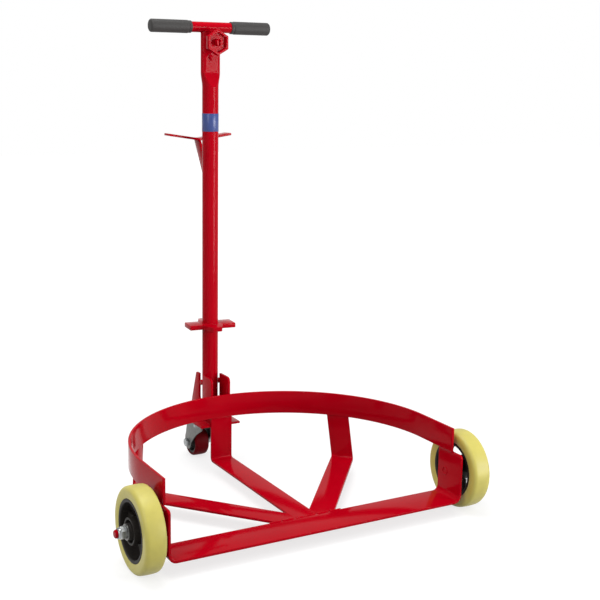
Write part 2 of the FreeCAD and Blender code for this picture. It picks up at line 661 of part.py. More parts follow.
bolts, mount_nuts, mount_washers = [], [], []
STACK = "plate_t + castor_top_t + mount_washer_t + mount_nut_t + mount_past"
for i, (x, y) in enumerate(MOUNT_SPOTS):
    spot = (x, plus(KING, y))
    bolts.append(place(bolt("mount_bolt_%d" % i, "mount_nut_w", "mount_head_t", "mount_d/2", STACK),
                       *spot, z=PLATE_TOP))
    disc = ring("mount_washer_%d" % i, "mount_washer_d/2", "mount_d/2 + bore_gap", "mount_washer_t",
                "XY_Plane", False)
    mount_washers.append(place(disc, *spot, z=TOP_LOW + " - mount_washer_t"))
    mount_nuts.append(place(nut("mount_nut_%d" % i, "mount_nut_w", "mount_nut_t",
                                "mount_d/2 + bore_gap"),
                            *spot, z=TOP_LOW + " - mount_washer_t - mount_nut_t"))
group("mount_bolts", bolts)
group("mount_washers", mount_washers)
group("mount_nuts", mount_nuts)

# Castor fork: crown with the lower race and two legs to the axle
INNER = "castor_boss_len + side_gap + side_gap"
OUTER = INNER + " + fork_t + fork_t"
fork = new_body("castor_fork_body")
leg_line = sketch(fork, "YZ_Plane", "fork_leg_line")
outline(leg_line, [
    ("-race_d/2", CROWN_TOP), ("-race_d/2", CROWN_TOP + " - fork_lip"),
    ("castor_trail - fork_waist", CROWN_TOP + " - fork_throat"),
    ("castor_trail - fork_eye", "castor_d/2"), ("castor_trail + fork_eye", "castor_d/2"),
    ("castor_trail + fork_rear", CROWN_TOP + " - fork_drop"),
    ("race_d/2", CROWN_TOP + " - fork_drop"), ("race_d/2", CROWN_TOP)],
    {3: ("castor_trail", "castor_d/2", True)})
pad(fork, leg_line, "fork_leg_pad", OUTER, True)
gap_line = sketch(fork, "YZ_Plane", "fork_gap_line")
outline(gap_line, [
    ("-race_d", CROWN_LOW), ("-race_d", "-castor_d"), ("castor_trail + castor_d", "-castor_d"),
    ("castor_trail + castor_d", CROWN_LOW)])
pocket(fork, gap_line, "fork_gap", INNER)
crown_line = sketch(fork, "XY_Plane", "fork_crown_line", CROWN_LOW)
circle(crown_line, "0", "0", "race_d/2")
pad(fork, crown_line, "fork_crown_pad", "crown_t")
bore_line = sketch(fork, "XY_Plane", "fork_bore_line")
circle(bore_line, "0", "0", "king_d/2 + bore_gap")
pocket(fork, bore_line, "fork_bore")
eye_line = sketch(fork, "YZ_Plane", "fork_eye_line")
circle(eye_line, "castor_trail", "castor_d/2", "castor_axle_d/2 + bore_gap")
pocket(fork, eye_line, "fork_eye_drill")
seat_line = sketch(fork, "XZ_Plane", "fork_seat_line")
circle(seat_line, "ball_circle/2", BALL_MID, "ball_d/2")
seat = fork.newObject("PartDesign::Groove", "fork_seat")
seat.Profile = seat_line
seat.ReferenceAxis = (seat_line, ["V_Axis"])
seat.Angle = 360
node(place(fork, "0", KING, "0"), "castor_fork")

balls = []
for i in range(int(sheet.get("ball_count"))):
    ball = doc.addObject("Part::Sphere", "ball_%02d" % i)
    ball.setExpression("Radius", bound("ball_d/2"))
    turn_to = "%d * 360 / Sizes.ball_count" % i
    ball.setExpression("Placement.Base.x", "Sizes.ball_circle / 2 * cos(%s)" % turn_to)
    ball.setExpression("Placement.Base.y", bound(KING) + " + Sizes.ball_circle / 2 * sin(%s)" % turn_to)
    ball.setExpression("Placement.Base.z", bound(BALL_MID))
    balls.append(ball)
group("castor_balls", balls)

CASTOR_AXLE = (KING + " + castor_trail", "castor_d/2")
FORK_SIDE = "castor_boss_len/2 + side_gap + fork_t"
AXLE_RUN = FORK_SIDE + " + " + FORK_SIDE + " + castor_nut_t + castor_past"
axle_bolt = bolt("castor_axle_part", "castor_nut_w", "castor_head_t", "castor_axle_d/2", AXLE_RUN)
node(place(axle_bolt, minus(FORK_SIDE), *CASTOR_AXLE, axis=(0, 1, 0), angle="-90"), "castor_axle")
axle_nut = nut("castor_nut_part", "castor_nut_w", "castor_nut_t", "castor_axle_d/2 + bore_gap")
node(place(axle_nut, FORK_SIDE, *CASTOR_AXLE, axis=(0, 1, 0), angle="90"), "castor_axle_nut")
sleeve = ring("castor_sleeve_body", "sleeve_d/2", "castor_axle_d/2 + bore_gap", INNER)
node(place(sleeve, "0", *CASTOR_AXLE), "castor_sleeve")

# Castor wheel
CORE_R = "castor_d/2 - castor_tread_t"
CORE_IN = CORE_R + " - castor_rim_wall"
core = turned("castor_core_body", [
    ("-castor_boss_len/2", "castor_bush_d/2"), ("castor_boss_len/2", "castor_bush_d/2"),
    ("castor_boss_len/2", "castor_boss_d/2"), ("castor_web_w/2", "castor_boss_d/2"),
    ("castor_web_w/2", CORE_IN), ("castor_rim_w/2", CORE_IN), ("castor_rim_w/2", CORE_R),
    ("-castor_rim_w/2", CORE_R), ("-castor_rim_w/2", CORE_IN),
    ("-castor_web_w/2", CORE_IN), ("-castor_web_w/2", "castor_boss_d/2"),
    ("-castor_boss_len/2", "castor_boss_d/2")])
node(place(core, "0", *CASTOR_AXLE), "castor_core")
bush = ring("castor_bush_body", "castor_bush_d/2", "sleeve_d/2 + bore_gap", "castor_boss_len")
node(place(bush, "0", *CASTOR_AXLE), "castor_bush")
tread = turned("castor_tread_body", [
    ("-castor_w/2", CORE_R), ("castor_w/2", CORE_R),
    ("castor_w/2", "castor_d/2 - castor_round"), ("castor_w/2 - castor_round", "castor_d/2"),
    ("-castor_w/2 + castor_round", "castor_d/2"), ("-castor_w/2", "castor_d/2 - castor_round")],
    {2: ("castor_w/2 - castor_round", "castor_d/2 - castor_round", True),
     4: ("-castor_w/2 + castor_round", "castor_d/2 - castor_round", True)})
node(place(tread, "0", *CASTOR_AXLE), "castor_tread")

# Handle
POLE = "hoop_y + " + POLE_BACK
FOOT_TOP = PLATE_TOP + " + foot_t"
foot = turned("pole_foot_body", [
    ("0", "0"), ("pole_d/2", "0"), ("pole_d/2", "foot_t"), ("pole_d/2 - pole_wall", "foot_t"),
    ("pole_d/2 - pole_wall", "foot_t + foot_spigot"), ("0", "foot_t + foot_spigot")], axis="V_Axis")
node(place(foot, "0", POLE, PLATE_TOP), "pole_foot")


def tube_wire(width, deep, height):
    """Four-edged section of the pole: round where width and depth agree, flattened elsewhere."""
    flat = (sheet.get("flat_w") - sheet.get("flat_deep")) / 2
    corner = math.atan2(sheet.get("flat_deep") / 2, flat)
    spots, middles = [], []
    if abs(width - deep) < 1e-6:
        for angle in (-corner, corner, math.pi - corner, math.pi + corner):
            spots.append((width / 2 * math.cos(angle), width / 2 * math.sin(angle)))
        middles = [(width / 2, 0), (0, width / 2), (-width / 2, 0), (0, -width / 2)]
    else:
        half = (width - deep) / 2
        spots = [(half, -deep / 2), (half, deep / 2), (-half, deep / 2), (-half, -deep / 2)]
        middles = [(width / 2, 0), None, (-width / 2, 0), None]
    edges = []
    for i in range(4):
        a = FreeCAD.Vector(*spots[i], height)
        b = FreeCAD.Vector(*spots[(i + 1) % 4], height)
        if middles[i]:
            edges.append(Part.Arc(a, FreeCAD.Vector(*middles[i], height), b).toShape())
        else:
            edges.append(Part.LineSegment(a, b).toShape())
    return Part.Wire(edges)


def tube_solid(shrink, low, high):
    """Round tube that flattens towards its top, drawn in by a wall thickness."""
    d = sheet.get("pole_d") - 2 * shrink
    w = sheet.get("flat_w") - 2 * shrink
    f = sheet.get("flat_deep") - 2 * shrink
    levels = [(d, d, low), (d, d, number_of(FLAT_LOW)), (w, f, number_of(FLAT_TOP)), (w, f, high)]
    pieces = [Part.makeLoft([tube_wire(*a), tube_wire(*b)], True, True)
              for a, b in zip(levels, levels[1:])]
    return pieces[0].fuse(pieces[1:]).removeSplitter()


FLAT_TOP = "bar_top_z - flat_len"
FLAT_LOW = FLAT_TOP + " - flat_taper"
pole_low = number_of(FOOT_TOP)
cross_z = sheet.get("bar_top_z")
shape = tube_solid(0, pole_low, cross_z)
wall = sheet.get("pole_wall")
shape = shape.cut(tube_solid(wall, pole_low - wall, cross_z + wall))
X_DIR = FreeCAD.Vector(1, 0, 0)
reach = sheet.get("flat_w") + sheet.get("pole_d")
shape = shape.cut(Part.makeCylinder(
    sheet.get("bar_top_d") / 2, 2 * reach, FreeCAD.Vector(-reach, 0, cross_z), X_DIR))
shape = shape.cut(Part.makeCylinder(
    number_of("pin_d/2 + bore_gap"), 2 * reach,
    FreeCAD.Vector(-reach, 0, number_of(PLATE_TOP + " + pin_rise")), X_DIR))
pole = doc.addObject("Part::Feature", "pole_tube")
pole.Shape = shape
pole.Placement = FreeCAD.Placement(FreeCAD.Vector(0, number_of(POLE), 0), FreeCAD.Rotation())
node(pole, "pole")

pin = cylinder("cross_pin_part", "pin_d/2", "pole_d + ear_gap + ear_gap + ear_t + ear_t")
place(pin, "-pole_d/2 - ear_gap - ear_t", POLE, PLATE_TOP + " + pin_rise", (0, 1, 0), "90")
node(pin, "cross_pin")

cross_bar = ring("cross_bar_body", "bar_top_d/2", "bar_top_d/2 - bar_top_wall", "bar_top_len")
node(place(cross_bar, "0", POLE, "bar_top_z"), "cross_bar")
for label, angle in (("left_grip", "180"), ("right_grip", "0")):
    grip = turned(label + "_body", [
        ("bar_top_len/2 + grip_end - grip_len", "bar_top_d/2 + bore_gap"),
        ("bar_top_len/2", "bar_top_d/2 + bore_gap"), ("bar_top_len/2", "0"),
        ("bar_top_len/2 + grip_end", "0"), ("bar_top_len/2 + grip_end", "grip_d/2 - grip_round"),
        ("bar_top_len/2 + grip_end - grip_round", "grip_d/2"),
        ("bar_top_len/2 + grip_end - grip_len + grip_collar", "grip_d/2"),
        ("bar_top_len/2 + grip_end - grip_len", "bar_top_d/2 + grip_round/2")],
        {4: ("bar_top_len/2 + grip_end - grip_round", "grip_d/2 - grip_round", True)})
    node(place(grip, "0", POLE, "bar_top_z", (0, 0, 1), angle), label)

# Bung key: recessed hexagon on a stub in front of the flattened top
key = new_body("bung_key_body")
key_line = sketch(key, "XZ_Plane", "bung_key_line")


def hex_line(item, across):
    """Hexagon standing on a corner, with upright sides, given its width across flats."""
    half = number_of(across) / 2
    far = half * 2 / math.sqrt(3)
    spots = [(0, -far), (half, -far / 2), (half, far / 2), (0, far), (-half, far / 2),
             (-half, -far / 2)]
    ids = []
    for i in range(6):
        a = FreeCAD.Vector(*spots[i], 0)
        b = FreeCAD.Vector(*spots[(i + 1) % 6], 0)
        ids.append(item.addGeometry(Part.LineSegment(a, b)))
    for i in range(6):
        item.addConstraint(Sketcher.Constraint("Coincident", ids[i], 2, ids[(i + 1) % 6], 1))
    for i in range(6):
        for kind, scale in (("DistanceX", spots[i][0] / half), ("DistanceY", spots[i][1] / half)):
            index = item.addConstraint(
                Sketcher.Constraint(kind, -1, 1, ids[i], 1, scale * half))
            item.setExpression("Constraints[%d]" % index, "(%s) / 2 * %.9f" % (bound(across), scale))


hex_line(key_line, "key_w")
circle(key_line, "0", "0", "stub_end_d/2")
pad(key, key_line, "bung_key_pad", "key_t", flip=True)
recess_line = sketch(key, "XZ_Plane", "bung_recess_line")
hex_line(recess_line, "key_w - key_rim - key_rim")
pocket(key, recess_line, "bung_recess", "key_deep", False)
KEY_Z = "bar_top_z - key_drop"
node(place(key, "0", POLE + " - key_out", KEY_Z), "bung_key")

stub = turned("bung_stub_body", [
    ("0", "-flat_deep/2"), ("0", "key_deep - stub_end_len - key_out"),
    ("stub_end_d/2", "key_deep - stub_end_len - key_out"), ("stub_end_d/2", "key_t - key_out"),
    ("stub_d/2", "key_t - key_out"), ("stub_d/2", "-flat_deep/2")], plane="XY_Plane", axis="V_Axis")
slot_line = sketch(stub, "XY_Plane", "bung_stub_slot_line")
SLOT_END = "key_deep - stub_end_len - key_out"
outline(slot_line, [
    ("-stub_slot_w/2", SLOT_END), ("stub_slot_w/2", SLOT_END),
    ("stub_slot_w/2", SLOT_END + " + stub_slot_deep"), ("-stub_slot_w/2", SLOT_END + " + stub_slot_deep")])
pocket(stub, slot_line, "bung_stub_slot")
node(place(stub, "0", POLE, KEY_Z), "bung_stub")

# Lugged plate: collar welded round the pole, with two broad side lugs and two tapered tongues
lug = new_body("lug_plate_body")
lug_line = sketch(lug, "XY_Plane", "lug_line")
half_plate = [("lug_reach", "-lug_w/2"), ("lug_reach", "lug_w/2"), ("lug_w/2", "lug_w/2"),
              ("tongue_tip/2", "tongue_reach"), ("-tongue_tip/2", "tongue_reach"),
              ("-lug_w/2", "lug_w/2")]
outline(lug_line, half_plate + [(minus(x), minus(y)) for x, y in half_plate])
circle(lug_line, "0", "0", "pole_d/2")
pad(lug, lug_line, "lug_pad", "lug_t")
node(place(lug, "0", POLE, PLATE_TOP + " + lug_rise", (0, 0, 1), "lug_turn"), "lug_plate")

# Rim hook: shallow gull-wing flat behind the pole, on a slanted strut
hook = new_body("rim_hook_body")
hook_line = sketch(hook, "XZ_Plane", "rim_hook_line")
outline(hook_line, [
    ("0", "0"), ("hook_half", "hook_rise"), ("hook_half", "hook_rise + hook_t"), ("0", "hook_t"),
    ("-hook_half", "hook_rise + hook_t"), ("-hook_half", "hook_rise")])
pad(hook, hook_line, "rim_hook_pad", "hook_deep", flip=True)
HOOK_Z = "bar_top_z - hook_drop"
node(place(hook, "0", POLE + " + hook_back", HOOK_Z), "rim_hook")

strut = new_body("hook_strut_body")
strut_line = sketch(strut, "YZ_Plane", "hook_strut_line")
outline(strut_line, [
    ("0", "-strut_foot"), ("pole_d/2", "-strut_foot"), ("hook_back + hook_deep", "0"),
    ("hook_back + strut_in", "0"), ("pole_d/2", "-strut_head"), ("0", "-strut_head")])
pad(strut, strut_line, "hook_strut_pad", "strut_t", True)
place(strut, "0", POLE, HOOK_Z)
strut_seat = cylinder("hook_strut_seat", "pole_d/2", "bar_top_z")
place(strut_seat, "0", POLE, "0")
node(join("Part::Cut", "hook_strut_part", strut, strut_seat), "hook_strut")

# Plain label wrapped round the front of the pole
label = new_body("label_body")
label_line = sketch(label, "XZ_Plane", "label_line")
LABEL_IN = "pole_d/2 + label_gap"
outline(label_line, [
    (LABEL_IN, "0"), (LABEL_IN + " + label_t", "0"), (LABEL_IN + " + label_t", "label_h"),
    (LABEL_IN, "label_h")])
wrap = turn(label, label_line, "label_turn", "V_Axis")
wrap.setExpression("Angle", "Sizes.label_wrap")
place(label, "0", POLE, HOOK_Z + " + label_rise", (0, 0, 1), "-90 - label_wrap/2")
node(label, "plain_label")

doc.recompute()

# Every object has to be sound before anything is written
faults = []
for item in doc.Objects:
    if "Invalid" in item.State or "Error" in item.State:
        faults.append("%s %s" % (item.Name, item.State))
for item in NODES:
    if item.Shape.isNull() or not item.Shape.isValid() or not item.Shape.Solids:
        faults.append("%s has no sound solid" % item.Label)
if faults:
    raise SystemExit("\n".join(faults))

os.makedirs("parts", exist_ok=True)
for item in NODES:
    item.Shape.exportStep("parts/%s.step" % item.Label)
    box = item.Shape.BoundBox
    print("%-18s %2d solids %10.0f mm3  x %7.1f %7.1f  y %7.1f %7.1f  z %7.1f %7.1f" % (
        item.Label, len(item.Shape.Solids), item.Shape.Volume,
        box.XMin, box.XMax, box.YMin, box.YMax, box.ZMin, box.ZMax))
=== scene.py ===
import math

import bmesh
import bpy
import numpy as np
from bpy.props import FloatProperty, IntProperty, PointerProperty, StringProperty
from mathutils import Matrix, Vector


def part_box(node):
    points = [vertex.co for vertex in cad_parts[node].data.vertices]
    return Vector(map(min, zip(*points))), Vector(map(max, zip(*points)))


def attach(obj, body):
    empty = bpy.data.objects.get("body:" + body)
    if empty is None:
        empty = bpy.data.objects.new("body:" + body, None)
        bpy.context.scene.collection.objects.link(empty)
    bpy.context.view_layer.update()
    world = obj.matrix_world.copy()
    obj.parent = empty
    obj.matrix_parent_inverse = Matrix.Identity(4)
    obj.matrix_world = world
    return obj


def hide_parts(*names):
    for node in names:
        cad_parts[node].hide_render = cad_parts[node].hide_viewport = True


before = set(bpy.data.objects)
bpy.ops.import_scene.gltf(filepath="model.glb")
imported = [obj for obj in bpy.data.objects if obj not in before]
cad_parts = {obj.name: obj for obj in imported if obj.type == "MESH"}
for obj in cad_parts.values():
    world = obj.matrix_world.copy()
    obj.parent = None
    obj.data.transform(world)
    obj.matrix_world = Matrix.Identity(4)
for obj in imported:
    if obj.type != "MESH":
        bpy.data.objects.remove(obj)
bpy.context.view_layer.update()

bl_info = {
    "name": "Drum trolley",
    "version": (1, 0, 0),
    "blender": (4, 5, 0),
    "location": "3D View > Sidebar > Trolley",
    "description": "Dresses the drum trolley's frame with rolled edges, welds, wheels and paint",
    "category": "Object",
}

# Blender works in metres; every size in this file is in millimetres
MM = 0.001


def span(node):
    """Lowest and highest corner of a frame node, in millimetres."""
    low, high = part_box(node)
    return np.array(low) / MM, np.array(high) / MM


# Places read from the frame
HOOP_LOW, HOOP_HIGH = span("hoop")
BAR_LOW, BAR_HIGH = span("front_bar")
REAR_HIGH = span("rear_brace")[1]
PLATE_LOW, PLATE_HIGH = span("castor_plate")
EAR_LOW, EAR_HIGH = span("right_ear")
AXLE_LOW, AXLE_HIGH = span("right_axle")
TREAD_LOW, TREAD_HIGH = span("right_tread")
HUB_LOW, HUB_HIGH = span("right_hub")
NUT_HIGH = span("axle_nuts")[1]
WASHER_LOW, WASHER_HIGH = span("axle_washers")
POLE_LOW, POLE_HIGH = span("pole")
FOOT_LOW, FOOT_HIGH = span("pole_foot")
CROSS_LOW, CROSS_HIGH = span("cross_bar")
GRIP_LOW, GRIP_HIGH = span("right_grip")
KEY_LOW, KEY_HIGH = span("bung_key")
STUB_LOW, STUB_HIGH = span("bung_stub")
LUG_LOW, LUG_HIGH = span("lug_plate")
HOOK_LOW, HOOK_HIGH = span("rim_hook")
STRUT_LOW, STRUT_HIGH = span("hook_strut")
LABEL_LOW, LABEL_HIGH = span("plain_label")
PIN_LOW, PIN_HIGH = span("cross_pin")
CASTOR_LOW, CASTOR_HIGH = span("castor_tread")
CORE_LOW, CORE_HIGH = span("castor_core")
FORK_HIGH = span("castor_fork")[1]
TOP_LOW, TOP_HIGH = span("castor_top_plate")
MOUNT_LOW, MOUNT_HIGH = span("mount_bolts")
MOUNT_NUT_LOW, MOUNT_NUT_HIGH = span("mount_nuts")

HOOP_OUT = HOOP_HIGH[0]
HOOP_Y = HOOP_HIGH[1] - HOOP_OUT
AXLE_Y = (AXLE_LOW[1] + AXLE_HIGH[1]) / 2
AXLE_Z = (AXLE_LOW[2] + AXLE_HIGH[2]) / 2
WHEEL_X = (TREAD_LOW[0] + TREAD_HIGH[0]) / 2
TAB_IN = AXLE_LOW[0]
STRAP_T = BAR_HIGH[0] - TAB_IN
STRAP_W = HOOP_HIGH[2] - HOOP_LOW[2]
HOOP_IN = HOOP_OUT - STRAP_T
LEG_OUT = REAR_HIGH[1]
FLOOR_Z = BAR_LOW[2]
BAR_REAR = BAR_HIGH[1]
POLE_Y = (FOOT_LOW[1] + FOOT_HIGH[1]) / 2
POLE_R = (FOOT_HIGH[0] - FOOT_LOW[0]) / 2
CROSS_Z = (CROSS_LOW[2] + CROSS_HIGH[2]) / 2
CROSS_R = (CROSS_HIGH[2] - CROSS_LOW[2]) / 2
KEY_Z = (KEY_LOW[2] + KEY_HIGH[2]) / 2
CASTOR_Y = (CASTOR_LOW[1] + CASTOR_HIGH[1]) / 2
CASTOR_Z = (CASTOR_LOW[2] + CASTOR_HIGH[2]) / 2
KING_Y = (TOP_LOW[1] + TOP_HIGH[1]) / 2

# Sizes that the boxes do not give; angles are in degrees
SHARP_ANGLE = 35.0  # edges that bend more than this stay sharp
SOFT_ANGLE = 60.0  # the same for rippled and pressed surfaces
AXIS_R = 0.01  # ring that closes a turned shape at its axis
CORNER_POINTS = 5
EDGE_POINTS = 4
HEX_POINTS = 72
BEND_STEP = 2.0  # spacing of the sections along a bent strap
SHARP_CORNER = 0.6
PLATE_CORNER = 5.0
TREAD_CROWN = 0.5
TREAD_SHOULDER = 8.0
BOSS_R = 25.0
BOSS_SEAT = 16.0
BOSS_SINK = 9.0
BOSS_SHARE = 0.86  # length of the boss's ring, as a share of the hub's
HUB_BORE = 12.6
WEB_T = 8.0
SPOKE_W = 35.0
SPOKE_ROUND = 2.2
RIM_HALF = 19.5
RIM_WALL = 7.0
FIRST_SPOKE = {"left": 0.0, "right": 20.0}
NUT_W = 22.0
NUT_COLLAR = 5.0
WASHER_T = 3.0
THREAD_SLACK = 0.05  # taken off a thread and added to a nut's bore
STUD_WELD_R = 7.6
STUD_BEAD = 1.2
FORK_EYE = 15.5
FORK_T = 3.5
FORK_SIDE = 23.8
CROWN_T = 4.0
KING_BORE = 6.1
CASTOR_SHOULDER = 5.0
CORE_BORE = 10.1
CORE_BOSS = 14.0
CORE_WEB_HALF = 5.0
CORE_RIM_HALF = 15.0
CORE_RIM_T = 5.0
CASTOR_BOLT_R = 5.0
CASTOR_PITCH = 1.5
MOUNT_SIZE = 13.0
MOUNT_R = 4.0
MOUNT_PITCH = 1.25
FLAT_LEN = 90.0
FLAT_TAPER = 34.0
FLAT_EASE = 0.65
FLAT_DEEP = 16.0
KEY_RIM = 5.0
KEY_DEEP = 7.0
GRIP_NOSE = 4.5
LUG_TURN = -6.0
LUG_REACH = 52.5
LUG_W = 43.0
TONGUE_REACH = 50.5
TONGUE_TIP = 21.0
HOOK_SOFT = 0.002  # softens the hook's bend: sqrt(t^2 + soft) in place of |t|
STRUT_SEAT = 51.5
STRUT_IN = 5.5
LABEL_WRAP = 250.0
SIDE_FOOT = (26.0, 54.0)
SIDE_FOOT_LEN = 26.0
BEAD_SHARE = 0.62  # radius of a bead, as a share of its leg length
STUB_TAIL_R = 4.2


class TrolleySizes(bpy.types.PropertyGroup):
    """Sizes of the dressing, in millimetres and degrees"""
    edge_round: FloatProperty(
        name="Edge rounding", description="Rounding of the painted flats' edges",
        default=0.9, min=0.2, max=2.0)
    bend_inside: FloatProperty(
        name="Brace bend", description="Inner radius of the braces' bends",
        default=5.0, min=2.0, max=20.0)
    tab_bend: FloatProperty(
        name="Tab bend", description="Inner radius of the front bar's bends",
        default=12.0, min=2.0, max=20.0)
    tab_corner: FloatProperty(
        name="Tab corner", description="Rounding of the wheel tabs' front corner",
        default=8.0, min=1.0, max=20.0)
    brace_angle: FloatProperty(
        name="Brace place", description="Side brace's place round the hoop, in degrees",
        default=39.0, min=10.0, max=80.0)
    brace_skew: FloatProperty(
        name="Brace skew", description="Side brace's turn from the hoop's radius, in degrees",
        default=12.0, min=0.0, max=30.0)
    leg_lean: FloatProperty(
        name="Leg lean", description="Lean of the side braces' legs, in degrees",
        default=8.0, min=0.0, max=30.0)
    bead: FloatProperty(
        name="Weld bead", description="Leg length of the weld beads", default=2.6, min=1.0, max=5.0)
    ripple: FloatProperty(
        name="Weld ripple", description="Spacing of the weld's ripples", default=3.0, min=1.0, max=6.0)
    spokes: IntProperty(
        name="Spokes", description="Broad spokes of a front wheel", default=3, min=3, max=9)
    thread: FloatProperty(
        name="Axle thread", description="Pitch of the axle's thread", default=2.0, min=1.0, max=3.0)


class TrolleyColours(bpy.types.PropertyGroup):
    """Colours of the finishes, as sRGB hex words"""
    red: StringProperty(
        name="Red paint", description="Gloss paint on the steel", default="#AC0014")
    tread: StringProperty(
        name="Front tread", description="Pale polyurethane of the front wheels", default="#C6BB5C")
    castor: StringProperty(
        name="Castor tread", description="Dark red polyurethane of the castor", default="#680A12")
    grip: StringProperty(
        name="Grips", description="Rubber of the grips", default="#2B2928")
    label: StringProperty(
        name="Label", description="Plain film round the pole", default="#304380")


def sizes():
    """The scene's sizes of the dressing."""
    return bpy.context.scene.trolley_sizes


def colours():
    """The scene's colours of the finishes."""
    return bpy.context.scene.trolley_colours


# Colour and node helpers

def linear(word, factor=1.0):
    """sRGB hex word turned to linear with alpha 1, then made lighter or darker by the factor."""
    c = np.array([int(word[i:i + 2], 16) for i in (1, 3, 5)]) / 255
    c = np.where(c <= 0.04045, c / 12.92, ((c + 0.055) / 1.055) ** 2.4)
    return (*np.minimum(c * factor, 1.0), 1.0)


def grey(level):
    """Linear grey with alpha 1."""
    return (level, level, level, 1.0)


def cleared(item):
    """Empty node tree of a material or a world."""
    item.use_nodes = True
    item.node_tree.nodes.clear()
    return item.node_tree


def add(tree, kind, links=None, stops=(), **settings):
    """Add one node.

    Settings name its properties, or its sockets as in_Name. Links feed its sockets, and stops are the
    (place, colour) pairs of a colour ramp.
    """
    item = tree.nodes.new(kind)
    for key, value in settings.items():
        if key.startswith("in_"):
            item.inputs[key[3:].replace("_", " ")].default_value = value
        else:
            setattr(item, key, value)
    for i, (place, colour) in enumerate(stops):
        item.color_ramp.elements[i].position = place
        item.color_ramp.elements[i].color = colour
    for socket, source in (links or {}).items():
        tree.links.new(source, item.inputs[socket])
    return item


def coated(name, tints, rough, cloud, smear=None, relief=None, bump=None, stretch=None, **sockets):
    """Material whose colour follows a cloud, its roughness a smear and its bump a relief.

    Each of the three is (size in millimetres, detail) of a noise, or of pebbles where the detail is None.
    Without a smear the roughness follows the cloud. Bump is (strength, depth in millimetres).
    """
    made = bpy.data.materials.new(name)
    tree = cleared(made)
    place = add(tree, "ShaderNodeTexCoord").outputs["Object"]
    if stretch:
        place = add(tree, "ShaderNodeMapping", {"Vector": place}, in_Scale=stretch).outputs["Vector"]
    values = {}
    for grain in dict.fromkeys(filter(None, (cloud, smear, relief))):
        size, detail = grain
        scale = 1 / (size * MM)
        if detail is None:
            pebbles = add(tree, "ShaderNodeTexVoronoi", {"Vector": place}, in_Scale=scale)
            values[grain] = pebbles.outputs["Distance"]
        else:
            noise = add(tree, "ShaderNodeTexNoise", {"Vector": place}, in_Scale=scale, in_Detail=detail)
            values[grain] = noise.outputs["Fac"]
    tint = add(tree, "ShaderNodeValToRGB", {"Fac": values[cloud]}, zip((0.3, 0.7), tints))
    sheen = add(tree, "ShaderNodeMapRange", {"Value": values[smear or cloud]},
                in_To_Min=rough[0], in_To_Max=rough[1])
    links = {"Base Color": tint.outputs["Color"], "Roughness": sheen.outputs["Result"]}
    if relief:
        skin = add(tree, "ShaderNodeBump", {"Height": values[relief]},
                   in_Strength=bump[0], in_Distance=bump[1] * MM)
        links["Normal"] = skin.outputs["Normal"]
    shader = add(tree, "ShaderNodeBsdfPrincipled", links, **sockets)
    add(tree, "ShaderNodeOutputMaterial", {"Surface": shader.outputs["BSDF"]})
    return made


def stoved_red_enamel():
    """Gloss enamel stoved on mild steel: deep even colour, clear reflections and a faint orange peel.

    Real orange peel is about 1 mm across; it is drawn at 2.5 mm so that it shows.
    """
    base = colours().red
    return coated("stoved_red_enamel", (linear(base, 0.93), linear(base, 1.05)), rough=(0.09, 0.14),
                  cloud=(70, 3), smear=(28, 4), relief=(2.5, 1.5), bump=(0.05, 0.4), in_IOR=1.13)


def bright_zinc_plate():
    """Zinc-plated steel: pale blue-grey metal, slightly blotched by the plating bath."""
    return coated("bright_zinc_plate", (linear("#7E8182"), linear("#B4B7B8")), rough=(0.22, 0.4),
                  cloud=(6, 5), relief=(1.2, 2), bump=(0.06, 0.3), in_Metallic=1.0)


def dull_zinc_plate():
    """Zinc on a pressed castor fork: greyer and rougher than on the fasteners, with a faint draw grain."""
    return coated("dull_zinc_plate", (linear("#5C5C5A"), linear("#7A7A78")), rough=(0.34, 0.5),
                  cloud=(3, 6), stretch=(1.0, 1.0, 0.25), in_Metallic=1.0)


def cast_polyurethane(name, colour, depth, ior):
    """Cast polyurethane tread: satin, slightly milky, with faint cloudiness and a skin of fine pores."""
    pores = (1.6, 3)
    return coated(name, (linear(colour, 0.94), linear(colour, 1.04)), rough=(0.38, 0.5), cloud=(22, 4),
                  smear=pores, relief=pores, bump=(0.08, 0.4), in_Subsurface_Weight=depth,
                  in_Subsurface_Scale=4 * MM, in_Subsurface_Radius=(1.0, 0.8, 0.4), in_IOR=ior)


def moulded_black(name, dark, light, rough):
    """Black hub or core: moulded skin with a fine grain that breaks up the sheen."""
    grain = (2.2, 4)
    return coated(name, (linear(dark), linear(light)), rough, cloud=grain, relief=grain, bump=(0.12, 0.4),
                  in_IOR=1.25)


def pebbled_rubber():
    """Rubber grip: matt dark grey with a pebbled skin. Its real 0.5 mm pebbles are drawn at 1.4 mm."""
    base = colours().grip
    return coated("pebbled_rubber", (linear(base, 0.8), linear(base, 1.15)), rough=(0.55, 0.75),
                  cloud=(9, 4), relief=(1.4, None), bump=(0.25, 0.5))


def label_film():
    """Plain self-adhesive film: smooth, faintly uneven blue with a satin face."""
    base = colours().label
    return coated("label_film", (linear(base, 0.92), linear(base, 1.06)), rough=(0.3, 0.38), cloud=(8, 3))


def sintered_bronze():
    """Sintered bronze bush: dull gold-brown metal with an oily mottling."""
    return coated("sintered_bronze", (linear("#8A6A38"), linear("#B58F52")), rough=(0.35, 0.5),
                  cloud=(2, 5), in_Metallic=1.0)


MAKERS = {
    "red": stoved_red_enamel,
    "zinc": bright_zinc_plate,
    "dull_zinc": dull_zinc_plate,
    "tread": lambda: cast_polyurethane("pale_yellow_polyurethane", colours().tread, 0.12, 1.52),
    "castor_tread": lambda: cast_polyurethane("dark_red_polyurethane", colours().castor, 0.0, 1.12),
    "hub": lambda: moulded_black("black_cast_hub", "#1A1715", "#2A2622", (0.42, 0.6)),
    "core": lambda: moulded_black("dark_grey_nylon", "#393836", "#4B4A48", (0.45, 0.6)),
    "grip": pebbled_rubber,
    "label": label_film,
    "bronze": sintered_bronze,
}
FINISHES = {}


